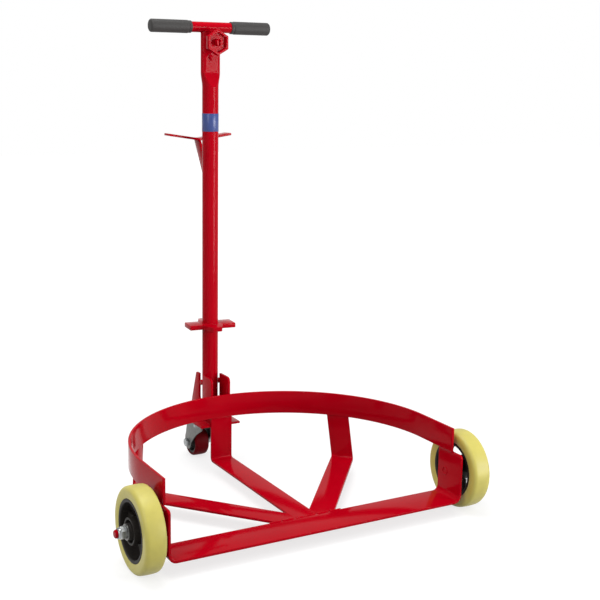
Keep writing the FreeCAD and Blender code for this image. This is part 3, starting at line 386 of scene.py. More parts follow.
def finish_of(name):
    """The named finish, made once."""
    made = bpy.data.materials.get(FINISHES.get(name, ""))
    if made is None:
        made = MAKERS[name]()
        FINISHES[name] = made.name
    return made


# Surface helpers

def quads(rows, cols, around=False, closed=False, start=0):
    """Quads of a grid of points, row by row; around closes each row on itself, closed joins last to first."""
    last_row, last_col = rows if closed else rows - 1, cols if around else cols - 1
    r, c = np.meshgrid(np.arange(last_row), np.arange(last_col), indexing="ij")
    n, d = (r + 1) % rows, (c + 1) % cols
    faces = np.stack([r * cols + c, r * cols + d, n * cols + d, n * cols + c], -1)
    return (faces.reshape(-1, 4) + start).tolist()


class Shell:
    """Points and faces of one piece, gathered from closed surfaces."""

    def __init__(self):
        self.points = []
        self.faces = []
        self.count = 0

    def gather(self, points, faces):
        """Add a surface's points and its faces."""
        self.points.append(points.reshape(-1, 3))
        self.faces += faces
        self.count += points.size // 3
        return self

    def grid(self, points):
        """Add rings of points, shaped (rings, points, 3), as a tube with a flat face at both ends."""
        rows, cols, _ = points.shape
        last = self.count + (rows - 1) * cols
        ends = [list(range(self.count, self.count + cols))[::-1], list(range(last, last + cols))]
        return self.gather(points, quads(rows, cols, True, False, self.count) + ends)

    def loop(self, points):
        """Add rings of points whose last ring joins the first, such as a turned ring."""
        rows, cols, _ = points.shape
        return self.gather(points, quads(rows, cols, True, True, self.count))

    def mirrored(self):
        """Add the mirror image in the plane X = 0, with its faces turned back outwards."""
        faces = [[i + self.count for i in reversed(f)] for f in self.faces]
        return self.gather(np.concatenate(self.points) * (-1, 1, 1), faces)

    def sided(self, sign):
        """Put the whole piece on the side of the plane X = 0 that the sign gives."""
        self.points = [p * (sign, 1, 1) for p in self.points]
        return self


def show(name, mesh, finish, body, replaces, sharp):
    """Smooth and paint a mesh, and let its object ride on its body in place of frame nodes."""
    mesh.polygons.foreach_set("use_smooth", np.ones(len(mesh.polygons), bool))
    mesh.set_sharp_from_angle(angle=math.radians(sharp))
    mesh.materials.clear()
    mesh.materials.append(finish_of(finish))
    item = bpy.data.objects.new(name, mesh)
    bpy.context.scene.collection.objects.link(item)
    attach(item, body)
    if replaces:
        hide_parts(*replaces)
    return item


def piece(name, shell, finish, body, replaces=(), sharp=SHARP_ANGLE):
    """Make a shell's mesh, turn its faces outwards and show it."""
    mesh = bpy.data.meshes.new(name)
    mesh.from_pydata((np.concatenate(shell.points) * MM).tolist(), [], shell.faces)
    work = bmesh.new()
    work.from_mesh(mesh)
    bmesh.ops.recalc_face_normals(work, faces=work.faces)
    work.to_mesh(mesh)
    work.free()
    show(name, mesh, finish, body, replaces, sharp)


def eased(node, name, finish, body, width):
    """Copy of a frame node with its loose triangles merged and its edges eased by a small bevel."""
    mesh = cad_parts[node].data.copy()
    mesh.name = name
    work = bmesh.new()
    work.from_mesh(mesh)
    bmesh.ops.remove_doubles(work, verts=work.verts, dist=1e-6)
    bmesh.ops.dissolve_limit(work, angle_limit=math.radians(1.0), verts=work.verts, edges=work.edges)
    work.to_mesh(mesh)
    work.free()
    if "custom_normal" in mesh.attributes:
        mesh.attributes.remove(mesh.attributes["custom_normal"])
    item = show(name, mesh, finish, body, [node], SHARP_ANGLE)
    bevel = item.modifiers.new("eased_edges", "BEVEL")
    bevel.width = width * MM
    bevel.segments = 2
    bevel.limit_method = "ANGLE"
    bevel.angle_limit = math.radians(SHARP_ANGLE)
    bevel.harden_normals = True


def paint(nodes, finish):
    """Give frame nodes that keep their own shape a finish."""
    for name in nodes:
        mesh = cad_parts[name].data
        mesh.materials.clear()
        mesh.materials.append(finish_of(finish))


def unit(v):
    """Vectors divided by their own length."""
    return v / np.linalg.norm(v, axis=-1, keepdims=True)


def box_ring(half_w, half_t, radius):
    """Rounded rectangle as rings, one for each size given: sign * (half - r) + r * (cos, sin)."""
    a = np.linspace(0, math.pi / 2, CORNER_POINTS)
    angle = np.concatenate([a + q * math.pi / 2 for q in range(4)])
    sign = np.repeat([(1, 1), (-1, 1), (-1, -1), (1, -1)], CORNER_POINTS, axis=0)
    half = np.stack(np.broadcast_arrays(half_w, half_t, radius)[:2], -1)
    r = np.asarray(radius)[..., None, None]
    return sign * (half[..., None, :] - r) + r * np.stack([np.cos(angle), np.sin(angle)], -1)


def drawn_in(from_end, radius):
    """How far a section is drawn in near a rounded end: r - sqrt(r^2 - (r - d)^2) at a distance d under r."""
    inside = np.clip(radius - from_end, 0, radius)
    return radius - np.sqrt(np.maximum(radius ** 2 - inside ** 2, 0))


def end_steps(length, stations, radius):
    """Stations along a length with a few more at both ends, and how far each one is drawn in there."""
    a = np.linspace(0, math.pi / 2, EDGE_POINTS + 1)[:-1]
    near = radius * (1 - np.cos(a))
    s = np.concatenate([near, stations, length - near[::-1]])
    return s, drawn_in(np.minimum(s, length - s), radius)


def bent_path(runs):
    """Line with rounded bends: runs of (straight length, bend angle, bend radius) in its own plane.

    Returns functions of the arc length: place (n, 2) and heading (n,), heading 0 along the first axis.
    """
    knots, kinds = [0.0], []
    for straight, angle, radius in runs:
        kinds.append((straight, 0.0))
        knots.append(knots[-1] + straight)
        if angle:
            kinds.append((abs(angle) * radius, angle / (abs(angle) * radius)))
            knots.append(knots[-1] + abs(angle) * radius)
    knots = np.array(knots)
    curve = np.array([k for _, k in kinds])
    length = np.array([n for n, _ in kinds])
    turn = np.concatenate([[0], np.cumsum(curve * length)])
    corner = [np.zeros(2)]
    for i in range(len(kinds)):
        corner.append(corner[-1] + step_along(length[i], turn[i], curve[i]))
    corner = np.array(corner)

    def at(s):
        i = np.clip(np.searchsorted(knots, s, "right") - 1, 0, len(kinds) - 1)
        along = s - knots[i]
        heading = turn[i] + curve[i] * along
        return corner[i] + step_along(along, turn[i], curve[i]), heading
    return at, knots


def step_along(s, heading, curve):
    """Chord of an arc of curvature k: the integral of (cos, sin)(heading + k s)."""
    s, heading, curve = np.broadcast_arrays(np.asarray(s, float), heading, curve)
    safe = np.where(curve == 0, 1.0, curve)
    x = np.where(curve == 0, s * np.cos(heading), (np.sin(heading + curve * s) - np.sin(heading)) / safe)
    y = np.where(curve == 0, s * np.sin(heading), (np.cos(heading) - np.cos(heading + curve * s)) / safe)
    return np.stack([x, y], -1)


def fill_stations(knots, step):
    """Stations along a bent line, about a step apart, with one at each knot."""
    parts = [np.linspace(a, b, max(2, int((b - a) / step) + 1)) for a, b in zip(knots, knots[1:]) if b > a]
    return np.unique(np.concatenate(parts))


def about(along, radius, angle, centre, axis):
    """Points at a place along an axis through the centre, a radius away from it and an angle round it."""
    u, v = radius * np.cos(angle), radius * np.sin(angle)
    along = np.broadcast_to(along, u.shape)
    order = {"x": (along, u, v), "z": (u, v, along)}[axis]
    return np.stack(order, -1) + np.asarray(centre, float)


def turned(profile, centre, axis="x", steps=96):
    """Profile of (along, radius) points turned about an axis through the centre: a ring for each point."""
    profile = np.asarray(profile, float)
    a = np.linspace(0, 2 * math.pi, steps, endpoint=False)
    return about(profile[:, :1], profile[:, 1:], a, centre, axis)


def rod(half, radius, ease, centre, steps):
    """Round bar along X with eased ends."""
    line = [(-half, AXIS_R), (-half, radius - ease), (-half + ease, radius), (half - ease, radius),
            (half, radius - ease), (half, AXIS_R)]
    return Shell().grid(turned(line, centre, steps=steps))


def rounded(points, radius, steps=5):
    """Closed outline with its corners rounded: each corner becomes an arc tangent to both sides."""
    p = np.asarray(points, float)
    r = np.broadcast_to(np.asarray(radius, float), len(p))
    before, after = unit(np.roll(p, 1, 0) - p), unit(np.roll(p, -1, 0) - p)
    half = np.arccos(np.clip((before * after).sum(1), -1, 1)) / 2
    reach = r / np.tan(half)
    centre = p + unit(before + after) * (r / np.sin(half))[:, None]
    a, b = p + before * reach[:, None], p + after * reach[:, None]
    t = np.linspace(0, 1, steps)[None, :, None]
    chord = unit((1 - t) * (a - centre)[:, None] + t * (b - centre)[:, None] + 1e-12)
    arc = centre[:, None] + chord * r[:, None, None]
    return arc.reshape(-1, 2)


def inset(line, distance):
    """Closed outline moved inwards along the mitred normals of its corners."""
    ahead = unit(np.roll(line, -1, 0) - line + 1e-12)
    behind = unit(line - np.roll(line, 1, 0) + 1e-12)
    area = (line[:, 0] * np.roll(line[:, 1], -1) - np.roll(line[:, 0], -1) * line[:, 1]).sum()
    turn = np.array([[0, 1], [-1, 0]]) * (1 if area > 0 else -1)
    n1, n2 = ahead @ turn.T * -1, behind @ turn.T * -1
    mid = n1 + n2
    scale = np.clip(2 / np.maximum((mid ** 2).sum(1), 0.5), 0, 2)
    return line + mid * scale[:, None] * distance


def slab(line, low, high, radius):
    """Flat plate of an outline with rolled edges: rings of the outline, drawn in towards both faces."""
    a = np.linspace(0, math.pi / 2, EDGE_POINTS)
    drawn = radius * (1 - np.sin(a))
    rise = radius * (1 - np.cos(a))
    inside = np.concatenate([drawn, drawn[::-1]])
    height = np.concatenate([low + rise, high - rise[::-1]])
    return np.stack([np.column_stack([inset(line, d), np.full(len(line), h)])
                     for d, h in zip(inside, height)])


def upright(line, low, high, radius):
    """Flat plate across X, of an outline in the YZ plane."""
    return slab(line, low, high, radius)[..., (2, 0, 1)]


def turn_z(points, degrees):
    """Points turned about the Z axis."""
    a = math.radians(degrees)
    spin = np.array([[math.cos(a), -math.sin(a), 0], [math.sin(a), math.cos(a), 0], [0, 0, 1]])
    return points @ spin.T


# Cradle

def strap_rings(centre, across, away, half, drawn):
    """Sections of a flat strap round their centres: rounded rectangles, drawn in near the ends."""
    ring = box_ring(half - drawn, STRAP_T / 2 - drawn, sizes().edge_round * 0.98 - drawn * 0.9)
    across, away = (np.broadcast_to(way, centre.shape)[:, None] for way in (across, away))
    return centre[:, None] + ring[..., :1] * across + ring[..., 1:] * away


def strap_along(place, across, away, length, stations):
    """Flat strap carried along a path, with both ends drawn in."""
    s, drawn = end_steps(length, stations, sizes().edge_round)
    return Shell().grid(strap_rings(place(s), across, away(s), STRAP_W / 2, drawn))


def hoop_shell():
    """Half ring with straight ends: place = tail, arc R (cos a, sin a), tail."""
    radius = HOOP_OUT - STRAP_T / 2
    tail = HOOP_Y - HOOP_LOW[1]
    arc = math.pi * radius
    length = arc + 2 * tail
    z = (HOOP_LOW[2] + HOOP_HIGH[2]) / 2

    def angle(s):
        return np.clip((s - tail) / radius, 0, math.pi)

    def place(s):
        a = angle(s)
        y = radius * np.sin(a) - np.maximum(tail - s, 0) - np.maximum(s - tail - arc, 0)
        return np.stack([radius * np.cos(a), HOOP_Y + y, np.full_like(s, z)], -1)

    def out(s):
        return np.stack([np.cos(angle(s)), np.sin(angle(s)), np.zeros_like(s)], -1)

    stations = np.concatenate([np.linspace(4, tail, 6), tail + np.linspace(0, arc, 145)[1:-1],
                               length - np.linspace(tail, 4, 6)])
    return strap_along(place, (0, 0, 1), out, length, stations)


def bar_shell():
    """Front bar: flat carried down one tab, along the floor and up the other, with rounded front corners."""
    bend = sizes().tab_bend + STRAP_T / 2
    tall = BAR_HIGH[2] - FLOOR_Z - STRAP_T / 2 - bend
    wide = 2 * (BAR_HIGH[0] - STRAP_T / 2 - bend)
    at, knots = bent_path([(tall, -math.pi / 2, bend), (wide, -math.pi / 2, bend), (tall, 0, 0)])
    length = knots[-1]
    corner, round_ = sizes().tab_corner, sizes().edge_round
    near = np.concatenate([np.linspace(0, round_, 5), np.linspace(round_, corner, 7)[1:]])
    s = np.unique(np.concatenate([near, fill_stations(knots[1:-1], BEND_STEP), length - near]))
    from_end = np.minimum(s, length - s)
    cut = drawn_in(from_end, corner)
    flat, heading = at(s)
    # The first axis of the path points down, the second towards the trolley's middle
    x = BAR_HIGH[0] - STRAP_T / 2 + flat[:, 1]
    z = BAR_HIGH[2] - flat[:, 0]
    out = np.stack([np.cos(heading), np.zeros_like(s), np.sin(heading)], -1)
    low, high = BAR_LOW[1] + cut, np.full_like(s, BAR_HIGH[1])
    centre = np.stack([x, (low + high) / 2, z], -1)
    return Shell().grid(strap_rings(centre, (0, 1, 0), out, (high - low) / 2, drawn_in(from_end, round_)))


def leg_path(start):
    """Brace line in its upright plane: along the floor, round the bend, up the leg."""
    bend = sizes().bend_inside + STRAP_T / 2
    reach = LEG_OUT - STRAP_T / 2 - bend - start
    tall = REAR_HIGH[2] - FLOOR_Z - STRAP_T / 2 - bend
    return bent_path([(reach, math.pi / 2, bend), (tall, 0, 0)])


def rear_shell():
    """Rear brace: flat strap along the floor and up to the hoop, in the plane X = 0."""
    start = BAR_REAR
    at, knots = leg_path(start)

    def place(s):
        flat, _ = at(s)
        return np.stack([np.zeros_like(s), start + flat[:, 0], FLOOR_Z + STRAP_T / 2 + flat[:, 1]], -1)

    def out(s):
        _, heading = at(s)
        return np.stack([np.zeros_like(s), np.sin(heading), -np.cos(heading)], -1)

    return strap_along(place, (1, 0, 0), out, knots[-1], fill_stations(knots, BEND_STEP)[1:-1])


def side_shell():
    """Right brace: strap bent across a skewed line.

    In the leg's own frame the strap's middle runs at x' = -tan(skew) (y' - leg) - tan(lean) z, so the
    bend stays square to the hoop while the strap leaves it at the skew; its front end is trimmed along
    the bar's rear edge and the rear brace's side.
    """
    psi = math.radians(sizes().brace_angle)
    skew = math.tan(math.radians(sizes().brace_skew))
    lean = math.tan(math.radians(sizes().leg_lean))
    leg = LEG_OUT - HOOP_Y - STRAP_T
    round_ = sizes().edge_round
    ring = box_ring(np.array([STRAP_W / 2]), np.array([STRAP_T / 2]), np.array([round_]))[0]
    # Where each line along the strap leaves the bar's edge or the rear brace's side, with one line on each
    # wide face at the corner between the two
    go = np.array([math.cos(psi) - skew * math.sin(psi), math.sin(psi) + skew * math.cos(psi)])
    corner = STRAP_W / 2 / go[0] - (BAR_REAR - HOOP_Y) / go[1]
    corner /= math.cos(psi) / go[1] + math.sin(psi) / go[0]
    corner = (corner - skew * leg) * math.cos(math.atan(skew))
    wide = np.flatnonzero(np.abs(np.roll(ring[:, 0], -1) - ring[:, 0]) > STRAP_W / 2)
    ring = np.insert(ring, wide + 1, np.stack([np.full(len(wide), corner), ring[wide, 1]], -1), axis=0)
    across, away = ring[:, 0] / math.cos(math.atan(skew)), ring[:, 1]
    x0 = skew * leg + across
    foot = np.stack([x0 * math.sin(psi), -x0 * math.cos(psi)], -1)
    start = np.maximum((BAR_REAR - HOOP_Y - foot[:, 1]) / go[1], (STRAP_W / 2 - foot[:, 0]) / go[0])
    at, knots = leg_path(HOOP_Y)
    length = knots[-1]
    t = np.concatenate([[0], np.linspace(0, 1, 8)[1:] * 0.93,
                        fill_stations(knots[1:] / length, BEND_STEP / length)])
    t = np.unique(np.clip(t, 0, 1))
    s = start[None, :] + (length - start[None, :]) * t[:, None]
    s = np.concatenate([s[:-1], s[-1:] - round_, s[-1:]])
    flat, heading = at(s.ravel())
    flat, heading = flat.reshape(*s.shape, 2), heading.reshape(s.shape)
    pinch = np.ones((len(s), 1))
    pinch[-1] = 1 - round_ / (STRAP_T / 2)
    y = flat[..., 0] + np.sin(heading) * away * pinch
    z = STRAP_T / 2 + flat[..., 1] - np.cos(heading) * away * pinch
    x = -skew * (y - leg) - lean * z + across
    return Shell().grid(np.stack([x * math.sin(psi) + y * math.cos(psi),
                                  HOOP_Y - x * math.cos(psi) + y * math.sin(psi), FLOOR_Z + z], -1))


class TROLLEY_OT_cradle(bpy.types.Operator):
    """Make the hoop, the front bar and the three braces with rolled edges"""
    bl_idname = "trolley.cradle"
    bl_label = "Cradle"

    def execute(self, context):
        piece("hoop_strap", hoop_shell(), "red", "frame", ["hoop"])
        piece("front_bar_flat", bar_shell(), "red", "frame", ["front_bar"])
        piece("rear_brace_strap", rear_shell(), "red", "frame", ["rear_brace"])
        piece("right_brace_strap", side_shell(), "red", "frame", ["right_brace"])
        piece("left_brace_strap", side_shell().sided(-1), "red", "frame", ["left_brace"])
        return {"FINISHED"}


# Castor plate and handle socket

def plate_shell():
    """Castor plate: rectangle with small corners and rolled edges."""
    line = rounded([(PLATE_LOW[0], PLATE_LOW[1]), (PLATE_HIGH[0], PLATE_LOW[1]),
                    (PLATE_HIGH[0], PLATE_HIGH[1]), (PLATE_LOW[0], PLATE_HIGH[1])],
                   [SHARP_CORNER, SHARP_CORNER, PLATE_CORNER, PLATE_CORNER])
    return Shell().grid(slab(line, PLATE_LOW[2], PLATE_HIGH[2], sizes().edge_round))


def ear_line():
    """Ear outline in the YZ plane: slot open at the top, rounded front corner, slanted rear edge."""
    slot, floor, prong, front_round = 19.0, 41.0, 14.5, 10.0
    y0, y1, z0, z1 = EAR_LOW[1], EAR_HIGH[1], EAR_LOW[2], EAR_HIGH[2]
    centre = z0 + floor + slot / 2
    a = np.linspace(0, math.pi, 13)
    cup = np.stack([POLE_Y + slot / 2 * np.cos(a), centre - slot / 2 * np.sin(a)], -1)
    tip = POLE_Y + slot / 2 + prong
    top = rounded([(y1, z0), (tip, z1), (POLE_Y + slot / 2, z1), (POLE_Y + slot / 2, centre)],
                  [SHARP_CORNER, 3.0, 1.5, 0.1])[:15]
    front = rounded([(POLE_Y - slot / 2, centre), (POLE_Y - slot / 2, z1), (y0, z1), (y0, z0)],
                    [0.1, 1.5, front_round, SHARP_CORNER])[5:]
    return np.concatenate([top, cup, front])


def ear_shell(x):
    """Ear: its outline in YZ, made a plate across X."""
    rings = upright(ear_line(), 0, EAR_HIGH[0] - EAR_LOW[0], sizes().edge_round * 0.8)
    return Shell().grid(rings + (x, 0, 0))


class TROLLEY_OT_socket(bpy.types.Operator):
    """Make the castor plate and the slotted ears that hold the handle"""
    bl_idname = "trolley.socket"
    bl_label = "Handle socket"

    def execute(self, context):
        piece("castor_plate_flat", plate_shell(), "red", "frame", ["castor_plate"])
        piece("right_ear_plate", ear_shell(EAR_LOW[0]), "red", "frame", ["right_ear"])
        piece("left_ear_plate", ear_shell(-EAR_HIGH[0]), "red", "frame", ["left_ear"])
        return {"FINISHED"}


# Front wheels

def tread_profile(half, outer, inner, shoulder, steps=10):
    """Tread section: crowned face, round shoulders, flat walls with a small step at the hub."""
    a = np.linspace(0, math.pi / 2, steps)
    right = np.stack([half - shoulder + shoulder * np.cos(a),
                      outer - TREAD_CROWN - shoulder + shoulder * np.sin(a)], -1)
    face = np.linspace(half - shoulder, -(half - shoulder), 9)[1:-1]
    top = np.stack([face, outer - TREAD_CROWN * (face / (half - shoulder)) ** 2], -1)
    left = right[::-1] * (-1, 1)
    wall = [(-half, inner + 2.2), (-half + 0.6, inner + 1.2), (-half + 0.9, inner)]
    return np.concatenate([right, top, left, wall, np.array(wall[::-1]) * (-1, 1)])


def hub_shell(side, first_spoke):
    """Hub: turned rim, turned boss with a sunk face, and spokes of rounded section between them."""
    x = side * WHEEL_X
    centre = (x, AXLE_Y, AXLE_Z)
    outer = (HUB_HIGH[2] - HUB_LOW[2]) / 2
    half, wall = RIM_HALF, outer - RIM_WALL
    rim = rounded([(-half, wall), (half, wall), (half, outer - 0.2), (-half, outer - 0.2)],
                  [2.4, 2.4, 0.6, 0.6], 4)
    long_ = (HUB_HIGH[0] - HUB_LOW[0]) / 2
    ring, cup, seat, sink = BOSS_R, BOSS_R - 4, BOSS_SEAT, BOSS_SINK
    out_long = long_ * BOSS_SHARE
    boss = rounded(
        [(-out_long, ring), (-out_long, cup), (-out_long + sink, cup - 1), (-out_long + sink, seat),
         (-long_, seat - 1), (-long_, HUB_BORE), (long_, HUB_BORE), (long_, seat - 1),
         (out_long - sink, seat), (out_long - sink, cup - 1), (out_long, cup), (out_long, ring)], 0.7, 4)
    shell = Shell().loop(turned(rim, centre)).loop(turned(boss, centre))
    s = np.linspace(ring - 2.5, wall + 1.5, 9)
    flare = 1 + 0.12 * (np.abs(s - s.mean()) / np.ptp(s) * 2) ** 4
    ringed = box_ring(WEB_T / 2 * flare, SPOKE_W / 2 * flare, np.full(len(s), SPOKE_ROUND))
    for i in range(sizes().spokes):
        a = math.radians(first_spoke) + 2 * math.pi * i / sizes().spokes
        along = np.array([0, math.cos(a), math.sin(a)])
        across = np.array([0, -math.sin(a), math.cos(a)])
        shell.grid(np.array(centre) + s[:, None, None] * along
                   + ringed[..., :1] * np.array([1.0, 0, 0]) + ringed[..., 1:] * across)
    return shell


class TROLLEY_OT_front_wheels(bpy.types.Operator):
    """Make both front wheels: polyurethane treads on spoked hubs"""
    bl_idname = "trolley.front_wheels"
    bl_label = "Front wheels"

    def execute(self, context):
        half = (TREAD_HIGH[0] - TREAD_LOW[0]) / 2
        outer = (TREAD_HIGH[2] - TREAD_LOW[2]) / 2
        inner = (HUB_HIGH[2] - HUB_LOW[2]) / 2
        section = tread_profile(half, outer, inner, TREAD_SHOULDER)
        for name, side in (("left", -1), ("right", 1)):
            centre = (side * WHEEL_X, AXLE_Y, AXLE_Z)
            body = name + "_wheel"
            piece(name + "_tread_ring", Shell().loop(turned(section, centre, steps=128)), "tread", body,
                  [name + "_tread"])
            piece(name + "_hub_casting", hub_shell(side, FIRST_SPOKE[name]), "hub", body, [name + "_hub"])
        paint(["left_bush", "right_bush"], "bronze")
        return {"FINISHED"}


# Fasteners

def hexagon(across, low, high, centre, axis, hole=0.0, collar=0.0):
    """Hexagon nut or head: radius (w/2) / cos(a mod 60 - 30), both ends cut back by a 30 degree cone.

    A collar is the round crimped end of a locking nut, as tall as given, inside the height.
    """
    end, high = high, high - collar
    a = np.linspace(0, 2 * math.pi, HEX_POINTS, endpoint=False)
    flat = across / 2
    corner = flat / np.cos((a + math.pi / 6) % (math.pi / 3) - math.pi / 6)
    circle = flat * 0.97
    back = (corner - circle) * math.tan(math.radians(30))
    rings = [(circle, low), (corner, low + back), (corner, high - back), (circle, high)]
    if collar:
        rings += [(flat * 0.93, high + 0.3), (flat * 0.92, high + collar * 0.45),
                  (flat * 0.88, high + collar * 0.75), (flat * 0.8, high + collar * 0.95)]
    if hole:
        rings += [(hole + 0.8, end), (hole, end - 0.8), (hole, low + 0.8), (hole + 0.8, low)]
    radius, height = (np.stack([np.broadcast_to(value, a.shape) for value in column])
                      for column in zip(*rings))
    return about(height, radius, a, centre, axis)


def threaded(radius, low, high, pitch, centre, axis, chamfer, steps=36):
    """Threaded shank: radius less a ridge depth times a triangle wave of (turns along - turns round)."""
    rows = int((high - low) / pitch * 8)
    h = np.linspace(low, high, rows)[:, None]
    a = np.linspace(0, 2 * math.pi, steps, endpoint=False)[None, :]
    phase = (h / pitch - a / (2 * math.pi)) % 1.0
    depth = 0.5 * pitch
    r = radius - depth * np.abs(2 * phase - 1) * 0.9
    tip = np.minimum(h - low, high - h)
    r = np.minimum(r, radius - np.clip(chamfer - (high - h), 0, chamfer) + 0 * a)
    r = np.where(tip < 1e-6, np.minimum(r, radius - chamfer), r)
    return about(h, r, a, centre, axis)


class TROLLEY_OT_axle_hardware(bpy.types.Operator):
    """Make the axle studs with their threads, the washers and the nuts"""
    bl_idname = "trolley.axle_hardware"
    bl_label = "Axle hardware"

    def execute(self, context):
        centre = (0, AXLE_Y, AXLE_Z)
        radius = (AXLE_HIGH[2] - AXLE_LOW[2]) / 2
        face = WASHER_HIGH[0]
        plain = turned([(TAB_IN + 0.15, AXIS_R), (TAB_IN + 0.15, radius - 0.6), (TAB_IN + 0.8, radius),
                        (face - 1, radius), (face - 1, AXIS_R)], centre, steps=48)
        thread = threaded(radius - THREAD_SLACK, face - 2, AXLE_HIGH[0], sizes().thread, centre, "x", 1.8)
        # Low weld ring where the stud's end sits flush in the tab
        ring = circle_line(STUD_WELD_R, (TAB_IN, AXLE_Y, AXLE_Z), axis="x")[:-1]
        weld = bead(ring, STUD_BEAD, True, (1, 0, 0))
        for name, sign in (("left", -1), ("right", 1)):
            stud = Shell().grid(plain).grid(thread).loop(weld).sided(sign)
            piece(name + "_axle_stud", stud, "red", "frame", [name + "_axle"])
        bore = radius + THREAD_SLACK
        nuts = Shell().loop(hexagon(NUT_W, face, NUT_HIGH[0], centre, "x", bore, NUT_COLLAR))
        piece("axle_nut_pair", nuts.mirrored(), "zinc", "frame", ["axle_nuts"])
        outer = (WASHER_HIGH[2] - WASHER_LOW[2]) / 2
        low = face - WASHER_T
        disc = rounded([(low, bore), (face, bore), (face, outer), (low, outer)], 0.4, 3)
        discs = Shell().loop(turned(disc, centre, steps=64))
        piece("axle_washer_pair", discs.mirrored(), "dull_zinc", "frame", ["axle_washers"])
        paint(["axle_spacers"], "zinc")
        return {"FINISHED"}


# Castor

def fork_shell():
    """Castor fork: two legs with a waisted front edge and a round eye, hung from a turned crown."""
    top = FORK_HIGH[2]
    a = np.radians(np.linspace(180, 360, 17))
    eye = np.stack([CASTOR_Y + FORK_EYE * np.cos(a), CASTOR_Z + FORK_EYE * np.sin(a)], -1)
    crown = FORK_HIGH[0]
    corners = np.concatenate([
        [(KING_Y - crown, top), (KING_Y - crown, top - 14.5), (CASTOR_Y - 39.5, top - 35.5)], eye,
        [(CASTOR_Y + 1.5, top - 9), (KING_Y + crown, top - 9), (KING_Y + crown, top)]])
    line = rounded(corners, [1.0, 4.0, 110.0] + [0.05] * len(eye) + [5.0, 3.0, 1.0])
    shell = Shell().grid(upright(line, FORK_SIDE - FORK_T, FORK_SIDE, 0.8)).mirrored()
    low = top - CROWN_T
    profile = [(top, KING_BORE), (top, 19.0), (top - 1.2, 20.6), (top - 1.5, 22.0), (top - 1.2, 23.4),
               (top, 25.0), (top, crown - 1.6), (top - 0.5, crown - 0.5), (top - 1.6, crown),
               (low + 0.6, crown), (low, crown - 0.6), (low, KING_BORE)]
    return shell.loop(turned(profile, (0, KING_Y, 0), "z", 72))


def castor_wheel_shells():
    """Castor wheel: a turned tread, and a turned core with a web between its boss and its rim."""
    centre = (0, CASTOR_Y, CASTOR_Z)
    half = (CASTOR_HIGH[0] - CASTOR_LOW[0]) / 2
    inner = (CORE_HIGH[2] - CORE_LOW[2]) / 2
    tread = tread_profile(half, CASTOR_Z, inner, CASTOR_SHOULDER, 8)
    long_ = (CORE_HIGH[0] - CORE_LOW[0]) / 2
    web, rim, wall = CORE_WEB_HALF, CORE_RIM_HALF, inner - CORE_RIM_T
    core = rounded([(-long_, CORE_BORE), (long_, CORE_BORE), (long_, CORE_BOSS), (web, CORE_BOSS),
                    (web, wall), (rim, wall), (rim, inner - 0.1), (-rim, inner - 0.1), (-rim, wall),
                    (-web, wall), (-web, CORE_BOSS), (-long_, CORE_BOSS)], 0.9)
    return (Shell().loop(turned(line, centre)) for line in (tread, core))


def castor_axle_shells():
    """Castor axle: a bolt with a hexagon head and a threaded end, and its nut."""
    centre = (0, CASTOR_Y, CASTOR_Z)
    low, high = span("castor_axle")
    nut_low, nut_high = span("castor_axle_nut")
    wide = nut_high[1] - nut_low[1]
    fork, radius = FORK_SIDE, CASTOR_BOLT_R
    bolt = Shell().grid(hexagon(wide, low[0], -fork, centre, "x"))
    shank = [(-fork, AXIS_R), (-fork, radius), (fork, radius), (fork, AXIS_R)]
    bolt.grid(turned(shank, centre, steps=36))
    bolt.grid(threaded(radius - THREAD_SLACK, fork, high[0], CASTOR_PITCH, centre, "x", 0.9))
    nut = Shell().loop(hexagon(wide, fork, nut_high[0], centre, "x", radius + THREAD_SLACK))
    return bolt, nut


def mount_shells():
    """Mounting bolts and nuts, one of each near every corner of the top plate."""
    x = MOUNT_HIGH[0] - MOUNT_SIZE / math.sqrt(3)
    y = (MOUNT_HIGH[1] - MOUNT_LOW[1] - MOUNT_SIZE) / 2
    bolts, nuts = Shell(), Shell()
    for sx, sy in ((-1, -1), (-1, 1), (1, -1), (1, 1)):
        spot = (sx * x, KING_Y + sy * y, 0)
        bolts.grid(hexagon(MOUNT_SIZE, PLATE_HIGH[2], MOUNT_HIGH[2], spot, "z"))
        # The thread is made pointing up and then turned over
        shank = threaded(MOUNT_R - THREAD_SLACK, -PLATE_HIGH[2], -MOUNT_LOW[2], MOUNT_PITCH, spot, "z",
                         0.8, 24)
        bolts.grid(shank * (1, 1, -1))
        nuts.loop(hexagon(MOUNT_SIZE, MOUNT_NUT_LOW[2], MOUNT_NUT_HIGH[2], spot, "z", MOUNT_R + THREAD_SLACK))
    return bolts, nuts


class TROLLEY_OT_castor(bpy.types.Operator):
    """Make the swivel castor: fork, wheel, top plate and fasteners"""
    bl_idname = "trolley.castor"
    bl_label = "Castor"

    def execute(self, context):
        piece("castor_fork_pressing", fork_shell(), "dull_zinc", "castor_yoke", ["castor_fork"])
        eased("castor_top_plate", "castor_top_pressing", "dull_zinc", "frame", 0.8)
        tread, core = castor_wheel_shells()
        piece("castor_tread_ring", tread, "castor_tread", "castor_wheel", ["castor_tread"])
        piece("castor_core_moulding", core, "core", "castor_wheel", ["castor_core"])
        bolt, nut = castor_axle_shells()
        piece("castor_axle_bolt", bolt, "zinc", "castor_yoke", ["castor_axle"])
        piece("castor_axle_locknut", nut, "zinc", "castor_yoke", ["castor_axle_nut"])
        bolts, nuts = mount_shells()
        piece("mount_bolt_set", bolts, "zinc", "frame", ["mount_bolts"])
        piece("mount_nut_set", nuts, "zinc", "frame", ["mount_nuts"])
        paint(["mount_washers", "king_bolt", "king_nut", "castor_balls", "castor_sleeve"], "zinc")
        paint(["castor_bush"], "bronze")
        return {"FINISHED"}


# Handle

